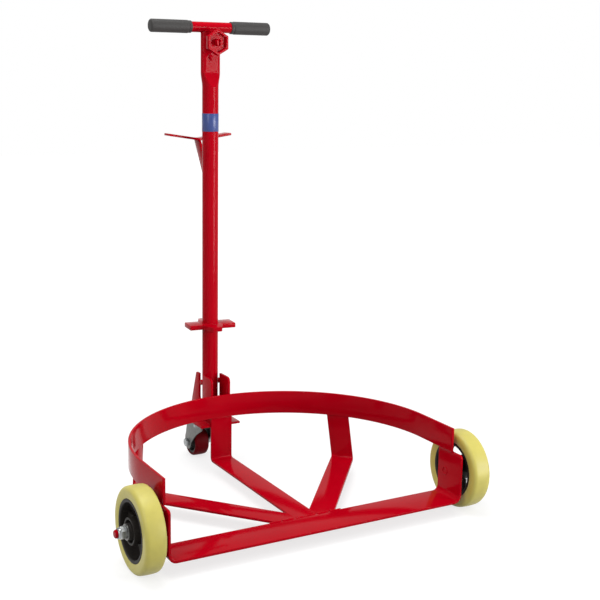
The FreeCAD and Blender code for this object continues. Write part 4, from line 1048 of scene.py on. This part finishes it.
def pole_shell():
    """Pole: round tube pressed flat at its top, cut to the cross bar.

    Each section is an ellipse (hx cos a, hy sin a) with its front and back cut off at a depth d. Over the
    taper d falls in a straight line, so both cuts are slanted flats with a tongue-shaped crease.
    """
    top = CROSS_Z - FLAT_LEN
    z = np.unique(np.concatenate([[POLE_LOW[2], POLE_LOW[2] + 1, top - FLAT_TAPER - 20],
                                  np.linspace(top - FLAT_TAPER - 4, top + 8, 45),
                                  np.linspace(top + 8, CROSS_Z - CROSS_R, 6)]))[:, None]
    w = np.clip((z - (top - FLAT_TAPER)) / FLAT_TAPER, 0, 1)
    soft = w * w * (3 - 2 * w)
    hx = POLE_R + ((POLE_HIGH[0] - POLE_LOW[0]) / 2 - POLE_R) * soft
    hy = POLE_R + (FLAT_DEEP / 2 + 2.2 - POLE_R) * w ** 3
    # The bend into the upright flat is eased over the top third of the taper
    eased_w = w - np.maximum(w - FLAT_EASE, 0) ** 2 / (2 * (1 - FLAT_EASE))
    depth = POLE_R + (FLAT_DEEP / 2 - POLE_R) * eased_w / ((1 + FLAT_EASE) / 2)
    depth = np.minimum(depth, hy * 0.9995)
    edge = np.arcsin(depth / hy)
    t = np.linspace(-1, 1, 49)
    flat = np.sin(np.linspace(1, -1, 17) * math.pi / 2)[1:-1]
    end_x, end_y = hx * np.cos(t * edge), hy * np.sin(t * edge)
    mid_x, mid_y = hx * np.cos(edge) * flat, depth * np.ones_like(flat)
    x = np.concatenate([end_x, mid_x, -end_x, -mid_x], 1)
    y = np.concatenate([end_y, mid_y, -end_y, -mid_y], 1)
    height = np.broadcast_to(z, x.shape).copy()
    height[-1] = CROSS_Z - np.sqrt(np.maximum(CROSS_R ** 2 - y[-1] ** 2, 0)) + 0.5
    return Shell().grid(np.stack([x, POLE_Y + y, height], -1))


def hex_line(across, corner):
    """Hexagon standing on a corner, with its corners eased."""
    a = np.radians(np.arange(6) * 60 + 30)
    far = across / math.sqrt(3)
    return rounded(np.stack([far * np.cos(a), far * np.sin(a)], -1), corner)


def key_shell():
    """Bung key: hexagon rings from the back face round the rim and down to the recess floor."""
    across = KEY_HIGH[0] - KEY_LOW[0]
    back, face = KEY_HIGH[1], KEY_LOW[1]
    inner = across - 2 * KEY_RIM
    steps = [(across - 2.4, back), (across - 0.7, back - 0.35), (across, back - 1.2),
             (across, face + 1.2), (across - 0.7, face + 0.35), (across - 1.8, face),
             (across - 2.2, face), (inner + 1.8, face), (inner + 1.4, face), (inner + 0.5, face + 0.3),
             (inner, face + 1.0), (inner - 0.8, face + KEY_DEEP - 0.8), (inner - 2.0, face + KEY_DEEP),
             (inner - 2.6, face + KEY_DEEP)]
    rings = np.stack([np.insert(hex_line(w, max(0.6, 2.2 - (across - w) * 0.05)), 1, y, axis=1)
                      for w, y in steps])
    return Shell().grid(rings + np.array([0, 0, KEY_Z]))


def grip_shell(side):
    """Grip: turned sleeve with a narrow collar, a shallow waist behind it and a rounded closed end."""
    start, end = GRIP_LOW[0], GRIP_HIGH[0]
    r = (GRIP_HIGH[2] - GRIP_LOW[2]) / 2
    a = np.linspace(0, math.pi / 2, 8)
    nose = np.stack([end - GRIP_NOSE + GRIP_NOSE * np.sin(a), r - GRIP_NOSE + GRIP_NOSE * np.cos(a)], -1)
    line = np.concatenate([
        [(start, AXIS_R), (start, CROSS_R + 0.5), (start + 0.5, r - 1.0), (start + 1.2, r - 0.7),
         (start + 5.5, r - 0.7), (start + 6.3, r - 1.1), (start + 7.1, r - 0.6), (start + 8.2, r - 0.1),
         (start + 10, r), (end - 8, r)], nose, [(end, AXIS_R)]])
    return Shell().grid(turned(line * (side, 1), (0, POLE_Y, CROSS_Z), steps=64))


class TROLLEY_OT_pole(bpy.types.Operator):
    """Make the pole with its flattened top, its foot and the cross pin"""
    bl_idname = "trolley.pole"
    bl_label = "Pole"

    def execute(self, context):
        piece("pole_tube", pole_shell(), "red", "handle", ["pole"], SOFT_ANGLE)
        eased("pole_foot", "pole_foot_plug", "red", "handle", 0.8)
        r = (PIN_HIGH[2] - PIN_LOW[2]) / 2
        z = (PIN_LOW[2] + PIN_HIGH[2]) / 2
        piece("cross_pin_rod", rod(PIN_HIGH[0], r, 1, (0, POLE_Y, z), 40), "red", "handle", ["cross_pin"])
        return {"FINISHED"}


class TROLLEY_OT_handle_top(bpy.types.Operator):
    """Make the cross bar, the grips and the bung key with its stub"""
    bl_idname = "trolley.handle_top"
    bl_label = "Handle top"

    def execute(self, context):
        bar = rod(CROSS_HIGH[0], CROSS_R, 0.6, (0, POLE_Y, CROSS_Z), 64)
        piece("cross_bar_tube", bar, "red", "handle", ["cross_bar"])
        piece("right_grip_sleeve", grip_shell(1), "grip", "handle", ["right_grip"])
        piece("left_grip_sleeve", grip_shell(-1), "grip", "handle", ["left_grip"])
        piece("bung_key_socket", key_shell(), "red", "handle", ["bung_key"])
        eased("bung_stub", "bung_key_stub", "red", "handle", 0.5)
        return {"FINISHED"}


def lug_shell():
    """Lugged plate: two broad side lugs and two tapered tongues, turned a little about the pole."""
    reach, side, tip, tongue = LUG_REACH, LUG_W / 2, TONGUE_TIP / 2, TONGUE_REACH
    half = np.array([(reach, -side), (reach, side), (side, side),
                     (tip, tongue), (-tip, tongue), (-side, side)])
    line = rounded(np.concatenate([half, -half]), [2.0, 2.0, 1.2, 2.0, 2.0, 1.2] * 2)
    rings = slab(line, LUG_LOW[2], LUG_HIGH[2], sizes().edge_round)
    return Shell().grid(turn_z(rings, LUG_TURN) + (0, POLE_Y, 0))


def hook_shell():
    """Rim hook: flat strip carried along a shallow V, with a small bend radius in its middle."""
    half = HOOK_HIGH[0]
    rise = HOOK_HIGH[2] - HOOK_LOW[2] - STRAP_T
    round_ = sizes().edge_round
    t = np.concatenate([[-1, -1 + 0.3 * round_ / half, -1 + round_ / half], np.linspace(-0.9, 0.9, 37),
                        [1 - round_ / half, 1 - 0.3 * round_ / half, 1]])
    x = half * t
    z = HOOK_LOW[2] + STRAP_T / 2 + rise * (np.sqrt(t ** 2 + HOOK_SOFT) - math.sqrt(HOOK_SOFT))
    slope = rise / half * t / np.sqrt(t ** 2 + HOOK_SOFT)
    up = unit(np.stack([-slope, 0 * x, np.ones_like(x)], -1))
    deep = (HOOK_HIGH[1] - HOOK_LOW[1]) / 2
    centre = np.stack([x, np.full_like(x, (HOOK_LOW[1] + HOOK_HIGH[1]) / 2), z], -1)
    return Shell().grid(strap_rings(centre, (0, 1, 0), up, deep, drawn_in(half - np.abs(x), round_)))


def strut_shell():
    """Hook strut: four-cornered plate in the plane X = 0, its front edge on the pole."""
    front = POLE_Y + POLE_R - 0.4
    line = rounded([(front, STRUT_LOW[2]), (STRUT_HIGH[1], STRUT_HIGH[2]),
                    (HOOK_LOW[1] + STRUT_IN, STRUT_HIGH[2]), (front, STRUT_LOW[2] + STRUT_SEAT)], 0.8)
    return Shell().grid(upright(line, -STRAP_T / 2, STRAP_T / 2, sizes().edge_round))


def label_shell():
    """Label: thin closed sheet bent round the front of the pole."""
    a = np.radians(np.linspace(-90 - LABEL_WRAP / 2, -90 + LABEL_WRAP / 2, 61))
    low, high = LABEL_LOW[2], LABEL_HIGH[2]
    inner, outer = POLE_R + 0.05, POLE_R + 0.35
    section = [(inner, low), (outer - 0.1, low), (outer, low + 0.15), (outer, high - 0.15),
               (outer - 0.1, high), (inner, high)]
    rings = np.stack([np.stack([r * np.cos(a), POLE_Y + r * np.sin(a), np.full_like(a, z)], -1)
                      for r, z in section], 1)
    return Shell().grid(rings)


class TROLLEY_OT_pole_fittings(bpy.types.Operator):
    """Make the lugged plate, the rim hook with its strut and the plain label"""
    bl_idname = "trolley.pole_fittings"
    bl_label = "Pole fittings"

    def execute(self, context):
        piece("lug_plate_flat", lug_shell(), "red", "handle", ["lug_plate"])
        piece("rim_hook_strip", hook_shell(), "red", "handle", ["rim_hook"])
        piece("hook_strut_plate", strut_shell(), "red", "handle", ["hook_strut"])
        piece("plain_label_film", label_shell(), "label", "handle", ["plain_label"])
        return {"FINISHED"}


# Welds

def bead(points, radius, closed=False, up=(0, 0, 1)):
    """Weld bead along a line of corners: a tube whose radius swells with |sin| of the ripple phase."""
    p = np.asarray(points, float)
    if closed:
        p = np.concatenate([p, p[:1]])
    run = np.concatenate([[0], np.cumsum(np.linalg.norm(np.diff(p, axis=0), axis=1))])
    s = np.linspace(0, run[-1], max(8, int(run[-1] / sizes().ripple * 4)), endpoint=not closed)
    line = np.stack([np.interp(s, run, p[:, i]) for i in range(3)], -1)
    ahead = np.roll(line, -1, 0) - np.roll(line, 1, 0) if closed else np.gradient(line, axis=0)
    ahead = unit(ahead)
    side = unit(np.cross(ahead, np.array(up, float)))
    lift = np.cross(side, ahead)
    swell = radius * (0.85 + 0.2 * np.abs(np.sin(math.pi * s / sizes().ripple)))
    if not closed:
        taper = np.clip(np.minimum(s, run[-1] - s) / (1.6 * radius), 0.02, 1)
        swell = swell * np.sqrt(taper * (2 - taper))
    a = np.linspace(0, 2 * math.pi, 12, endpoint=False)
    ring = np.cos(a)[None, :, None] * side[:, None] + np.sin(a)[None, :, None] * lift[:, None]
    return line[:, None] + ring * swell[:, None, None]


def circle_line(radius, centre, count=48, first=0.0, last=2 * math.pi, axis="z"):
    """Points round a circle, about an axis through its centre."""
    a = np.linspace(first, last, count)
    flat = np.stack([radius * np.cos(a), radius * np.sin(a), 0 * a], -1)
    order = {"z": (0, 1, 2), "y": (0, 2, 1), "x": (2, 0, 1)}[axis]
    return flat[:, order] + np.asarray(centre, float)


def cradle_welds():
    """Beads of the hoop, the front bar and the braces."""
    fine = sizes().bead * BEAD_SHARE
    shell = Shell()
    seam, floor, top = HOOP_LOW[2], FLOOR_Z + STRAP_T, REAR_HIGH[2]
    # Hoop ends on the wheel tabs, inside and outside
    for x, short in ((TAB_IN - 0.6, 2), (HOOP_OUT + 0.4, 6)):
        shell.grid(bead([(x, HOOP_LOW[1] + short, seam), (x, BAR_REAR - short, seam)], fine))
    # Side leg under the hoop
    lean = math.degrees(math.tan(math.radians(sizes().leg_lean)) * (top - FLOOR_Z) / HOOP_IN)
    mid = sizes().brace_angle + lean
    wide = math.degrees(STRAP_W / 2 / HOOP_IN) * 0.92
    arc = np.radians(np.array([mid - wide, mid + wide]))
    shell.grid(bead(circle_line(HOOP_OUT + 0.6, (0, HOOP_Y, top), 24, *arc), fine))
    # Side brace on the bar's rear edge
    for x in SIDE_FOOT:
        shell.grid(bead([(x, BAR_REAR, floor), (x + SIDE_FOOT_LEN, BAR_REAR, floor)], fine))
    shell.mirrored()
    # Rear brace on the bar and under the hoop
    half = STRAP_W / 2 - 3
    for y, z, radius in ((BAR_REAR, floor, fine * 0.8), (HOOP_Y + HOOP_OUT + 0.8, top, fine)):
        shell.grid(bead([(-half, y, z), (half, y, z)], radius))
    return shell


def socket_welds():
    """Beads of the castor plate and the ears."""
    fine = sizes().bead * BEAD_SHARE
    shell = Shell()
    # Castor plate on the rear leg
    half = STRAP_W / 2 - 2
    y, z = PLATE_LOW[1] + 0.4, PLATE_LOW[2]
    shell.grid(bead([(-half, y, z), (half, y, z)], fine))
    # Ears on the plate, outside and inside
    z = PLATE_HIGH[2]
    for side, radius in ((EAR_HIGH[0] + 0.4, fine), (EAR_LOW[0] - 0.3, fine * 0.35)):
        for x in (-side, side):
            shell.grid(bead([(x, EAR_LOW[1] + 6, z), (x, EAR_HIGH[1] - 4, z)], radius))
    # Ears on the rear leg
    side, y = EAR_HIGH[0] + 0.4, EAR_LOW[1] + 0.3
    for x in (-side, side):
        shell.grid(bead([(x, y, z + 2), (x, y, REAR_HIGH[2] - 2)], fine, up=(1, 0, 0)))
    return shell


def handle_welds():
    """Beads of the lugged plate, the hook's strut, the key's stub and the cross bar."""
    fine = sizes().bead * BEAD_SHARE
    shell = Shell()
    for z in (LUG_LOW[2], LUG_HIGH[2]):
        shell.loop(bead(circle_line(POLE_R + 0.5, (0, POLE_Y, z), 64)[:-1], fine, True))
    # Strut on the pole and under the hook, both sides
    side, back = STRAP_T / 2 + 0.3, POLE_Y + POLE_R - 0.2
    low, high = STRUT_LOW[2] + 2, STRUT_LOW[2] + STRUT_SEAT - 3
    near, far = HOOK_LOW[1] + STRUT_IN + 2, HOOK_HIGH[1] - 3
    for x in (-side, side):
        shell.grid(bead([(x, back, low), (x, back, high)], fine, up=(1, 0, 0)))
        shell.grid(bead([(x, near, HOOK_LOW[2]), (x, far, HOOK_LOW[2])], fine))
    # Stub on the flat, with the end of its weld run down the flat
    face = POLE_Y - FLAT_DEEP / 2
    stub = circle_line((STUB_HIGH[0] - STUB_LOW[0]) / 2 + 0.3, (0, face, KEY_Z), axis="y")
    shell.loop(bead(stub[:-1], fine, True, (0, 1, 0)))
    y = face - 0.6
    tail = [(-5, y, KEY_Z - 24), (-3.5, y, KEY_Z - 30), (-3, y, KEY_Z - 37)]
    shell.grid(bead(tail, STUB_TAIL_R, up=(0, -1, 0)))
    # Flattened pole on the cross bar, front and back
    half = (POLE_HIGH[0] - POLE_LOW[0]) / 2 - 6
    z = CROSS_Z - math.sqrt(CROSS_R ** 2 - (FLAT_DEEP / 2) ** 2)
    for sign in (-1, 1):
        y = POLE_Y + sign * (FLAT_DEEP / 2 + 0.2)
        shell.grid(bead([(-half, y, z), (half, y, z)], fine))
    return shell


class TROLLEY_OT_welds(bpy.types.Operator):
    """Make the painted weld beads that join the flats, plates and tubes"""
    bl_idname = "trolley.welds"
    bl_label = "Welds"

    def execute(self, context):
        piece("cradle_welds", cradle_welds(), "red", "frame", sharp=SOFT_ANGLE)
        piece("socket_welds", socket_welds(), "red", "frame", sharp=SOFT_ANGLE)
        piece("handle_welds", handle_welds(), "red", "handle", sharp=SOFT_ANGLE)
        return {"FINISHED"}


# Stage

CAMERA_PLACE = (-1052.61, -2020.94, 883.23)
CAMERA_AZIMUTH = 29.780
CAMERA_PITCH = 11.485
CAMERA_ROLL = -0.979
FOCAL_PIXELS = 1139.27
IMAGE_PIXELS = 600
SENSOR = 36.0
CLIP_END = 60000.0
FLOOR_HALF = 9000.0
FLOOR_POINTS = 33
FLOOR_GLOW = 0.74
FLOOR_FADE = 3200.0
# Soft boxes: name, place, target, width and height, watts, spread in degrees. The right one stands where
# the key and the flattened pole mirror it towards the camera.
LAMPS = (
    ("top_box", (-200, 100, 2600), (0, 0, 200), (1300, 1300), 28, 180),
    ("left_box", (-2300, -1500, 1700), (0, 0, 300), (1300, 1800), 22, 180),
    ("right_box", (1377, -1748, 690), (0, 218, 760), (1100, 1340), 7.8, 65),
)


def seen_by(tree):
    """1 for rays from the camera, from a mirror-like surface or through glass, and 0 for stray light."""
    path = add(tree, "ShaderNodeLightPath")
    both = add(tree, "ShaderNodeMath", {0: path.outputs["Is Camera Ray"], 1: path.outputs["Is Glossy Ray"]},
               operation="MAXIMUM")
    return add(tree, "ShaderNodeMath", {0: both.outputs[0], 1: path.outputs["Is Transmission Ray"]},
               operation="MAXIMUM").outputs[0]


def white_floor():
    """Sprayed white studio floor: it glows white from afar, and nearby it keeps the object's soft shadow."""
    made = bpy.data.materials.new("studio_white")
    tree = cleared(made)
    scale = 1 / (FLOOR_FADE * MM)
    spread = add(tree, "ShaderNodeMapping", {"Vector": add(tree, "ShaderNodeTexCoord").outputs["Object"]},
                 in_Scale=(scale, scale, scale))
    near = add(tree, "ShaderNodeTexGradient", {"Vector": spread.outputs["Vector"]}, gradient_type="SPHERICAL")
    level = add(tree, "ShaderNodeValToRGB", {"Fac": near.outputs["Fac"]},
                ((0.1, grey(1.0)), (0.6, grey(FLOOR_GLOW)))).outputs["Color"]
    glow = add(tree, "ShaderNodeEmission", {"Color": level, "Strength": seen_by(tree)})
    coat = add(tree, "ShaderNodeBsdfDiffuse", in_Color=grey(0.3))
    both = add(tree, "ShaderNodeAddShader", {0: glow.outputs[0], 1: coat.outputs[0]})
    add(tree, "ShaderNodeOutputMaterial", {"Surface": both.outputs[0]})
    return made


def lamp(name, place, target, size, power, spread):
    """Soft box: area lamp turned towards its target, with a grid that keeps its light to the spread."""
    light = bpy.data.lights.new(name, "AREA")
    light.shape = "RECTANGLE"
    light.size, light.size_y = (v * MM for v in size)
    light.energy = power
    light.spread = math.radians(spread)
    item = bpy.data.objects.new(name, light)
    item.location = Vector(place) * MM
    item.rotation_euler = (Vector(target) - Vector(place)).to_track_quat("-Z", "Y").to_euler()
    bpy.context.scene.collection.objects.link(item)


def studio_floor():
    """Flat floor, as a grid of points, with the white finish."""
    t = np.linspace(-FLOOR_HALF, FLOOR_HALF, FLOOR_POINTS)
    x, y = np.meshgrid(t, t, indexing="ij")
    points = np.stack([x, y, np.zeros_like(x)], -1).reshape(-1, 3) * MM
    mesh = bpy.data.meshes.new("studio_floor")
    mesh.from_pydata(points.tolist(), [], quads(FLOOR_POINTS, FLOOR_POINTS))
    mesh.materials.append(white_floor())
    floor = bpy.data.objects.new("studio_floor", mesh)
    bpy.context.scene.collection.objects.link(floor)


def studio_world():
    """White backdrop up to a little above eye level, a dim room over it, and soft light from all round."""
    world = bpy.data.worlds.new("studio")
    tree = cleared(world)
    way = add(tree, "ShaderNodeTexCoord").outputs["Generated"]
    up = add(tree, "ShaderNodeSeparateXYZ", {"Vector": way}).outputs["Z"]
    wall = add(tree, "ShaderNodeValToRGB", {"Fac": up}, ((0.075, grey(1.0)), (0.14, grey(0.7))))
    backdrop = add(tree, "ShaderNodeBackground", {"Color": wall.outputs["Color"]}, in_Strength=1.0)
    sky = add(tree, "ShaderNodeValToRGB", {"Fac": up}, ((0.0, grey(0.34)), (0.9, grey(0.8))))
    room = add(tree, "ShaderNodeBackground", {"Color": sky.outputs["Color"]}, in_Strength=1.0)
    mix = add(tree, "ShaderNodeMixShader", {0: seen_by(tree), 1: room.outputs[0], 2: backdrop.outputs[0]})
    add(tree, "ShaderNodeOutputWorld", {"Surface": mix.outputs[0]})
    bpy.context.scene.world = world


def photo_camera():
    """Camera where the photo was taken: forward from azimuth and pitch, then rolled about that line."""
    lens = bpy.data.cameras.new("photo_camera")
    lens.sensor_width = SENSOR
    lens.sensor_fit = "HORIZONTAL"
    lens.lens = FOCAL_PIXELS / IMAGE_PIXELS * SENSOR
    lens.clip_end = CLIP_END * MM
    camera = bpy.data.objects.new("photo_camera", lens)
    a, e, c = (math.radians(v) for v in (CAMERA_AZIMUTH, CAMERA_PITCH, CAMERA_ROLL))
    forward = Vector((math.sin(a) * math.cos(e), math.cos(a) * math.cos(e), -math.sin(e)))
    right = Vector((math.cos(a), -math.sin(a), 0))
    down = forward.cross(right)
    right, down = right * math.cos(c) + down * math.sin(c), down * math.cos(c) - right * math.sin(c)
    turn = Matrix((right, -down, -forward)).transposed()
    camera.matrix_world = Matrix.Translation(Vector(CAMERA_PLACE) * MM) @ turn.to_4x4()
    bpy.context.scene.collection.objects.link(camera)
    bpy.context.scene.camera = camera


class TROLLEY_OT_stage(bpy.types.Operator):
    """Make the pale floor, the soft studio light and the camera"""
    bl_idname = "trolley.stage"
    bl_label = "Stage"

    def execute(self, context):
        studio_floor()
        studio_world()
        for values in LAMPS:
            lamp(*values)
        photo_camera()
        context.scene.view_settings.view_transform = "Standard"
        return {"FINISHED"}


class TROLLEY_PT_panel(bpy.types.Panel):
    """Lists the trolley's pieces in the sidebar"""
    bl_idname = "TROLLEY_PT_panel"
    bl_label = "Drum trolley"
    bl_space_type = "VIEW_3D"
    bl_region_type = "UI"
    bl_category = "Trolley"

    def draw(self, context):
        for item in OPERATORS:
            self.layout.operator(item.bl_idname)
        for group in (context.scene.trolley_sizes, context.scene.trolley_colours):
            for name in group.bl_rna.properties.keys():
                if name not in ("rna_type", "name"):
                    self.layout.prop(group, name)


OPERATORS = (TROLLEY_OT_cradle, TROLLEY_OT_socket, TROLLEY_OT_front_wheels, TROLLEY_OT_axle_hardware,
             TROLLEY_OT_castor, TROLLEY_OT_pole, TROLLEY_OT_handle_top, TROLLEY_OT_pole_fittings,
             TROLLEY_OT_welds, TROLLEY_OT_stage)
CLASSES = (TrolleySizes, TrolleyColours, *OPERATORS, TROLLEY_PT_panel)


def register():
    """Make the classes and the scene's property groups known."""
    for item in CLASSES:
        bpy.utils.register_class(item)
    bpy.types.Scene.trolley_sizes = PointerProperty(type=TrolleySizes)
    bpy.types.Scene.trolley_colours = PointerProperty(type=TrolleyColours)


def unregister():
    """Take back what register made known."""
    del bpy.types.Scene.trolley_colours
    del bpy.types.Scene.trolley_sizes
    for item in reversed(CLASSES):
        bpy.utils.unregister_class(item)


def main():
    """Run every operator."""
    register()
    for item in OPERATORS:
        group, name = item.bl_idname.split(".")
        getattr(getattr(bpy.ops, group), name)()


if __name__ == "__main__":
    main()
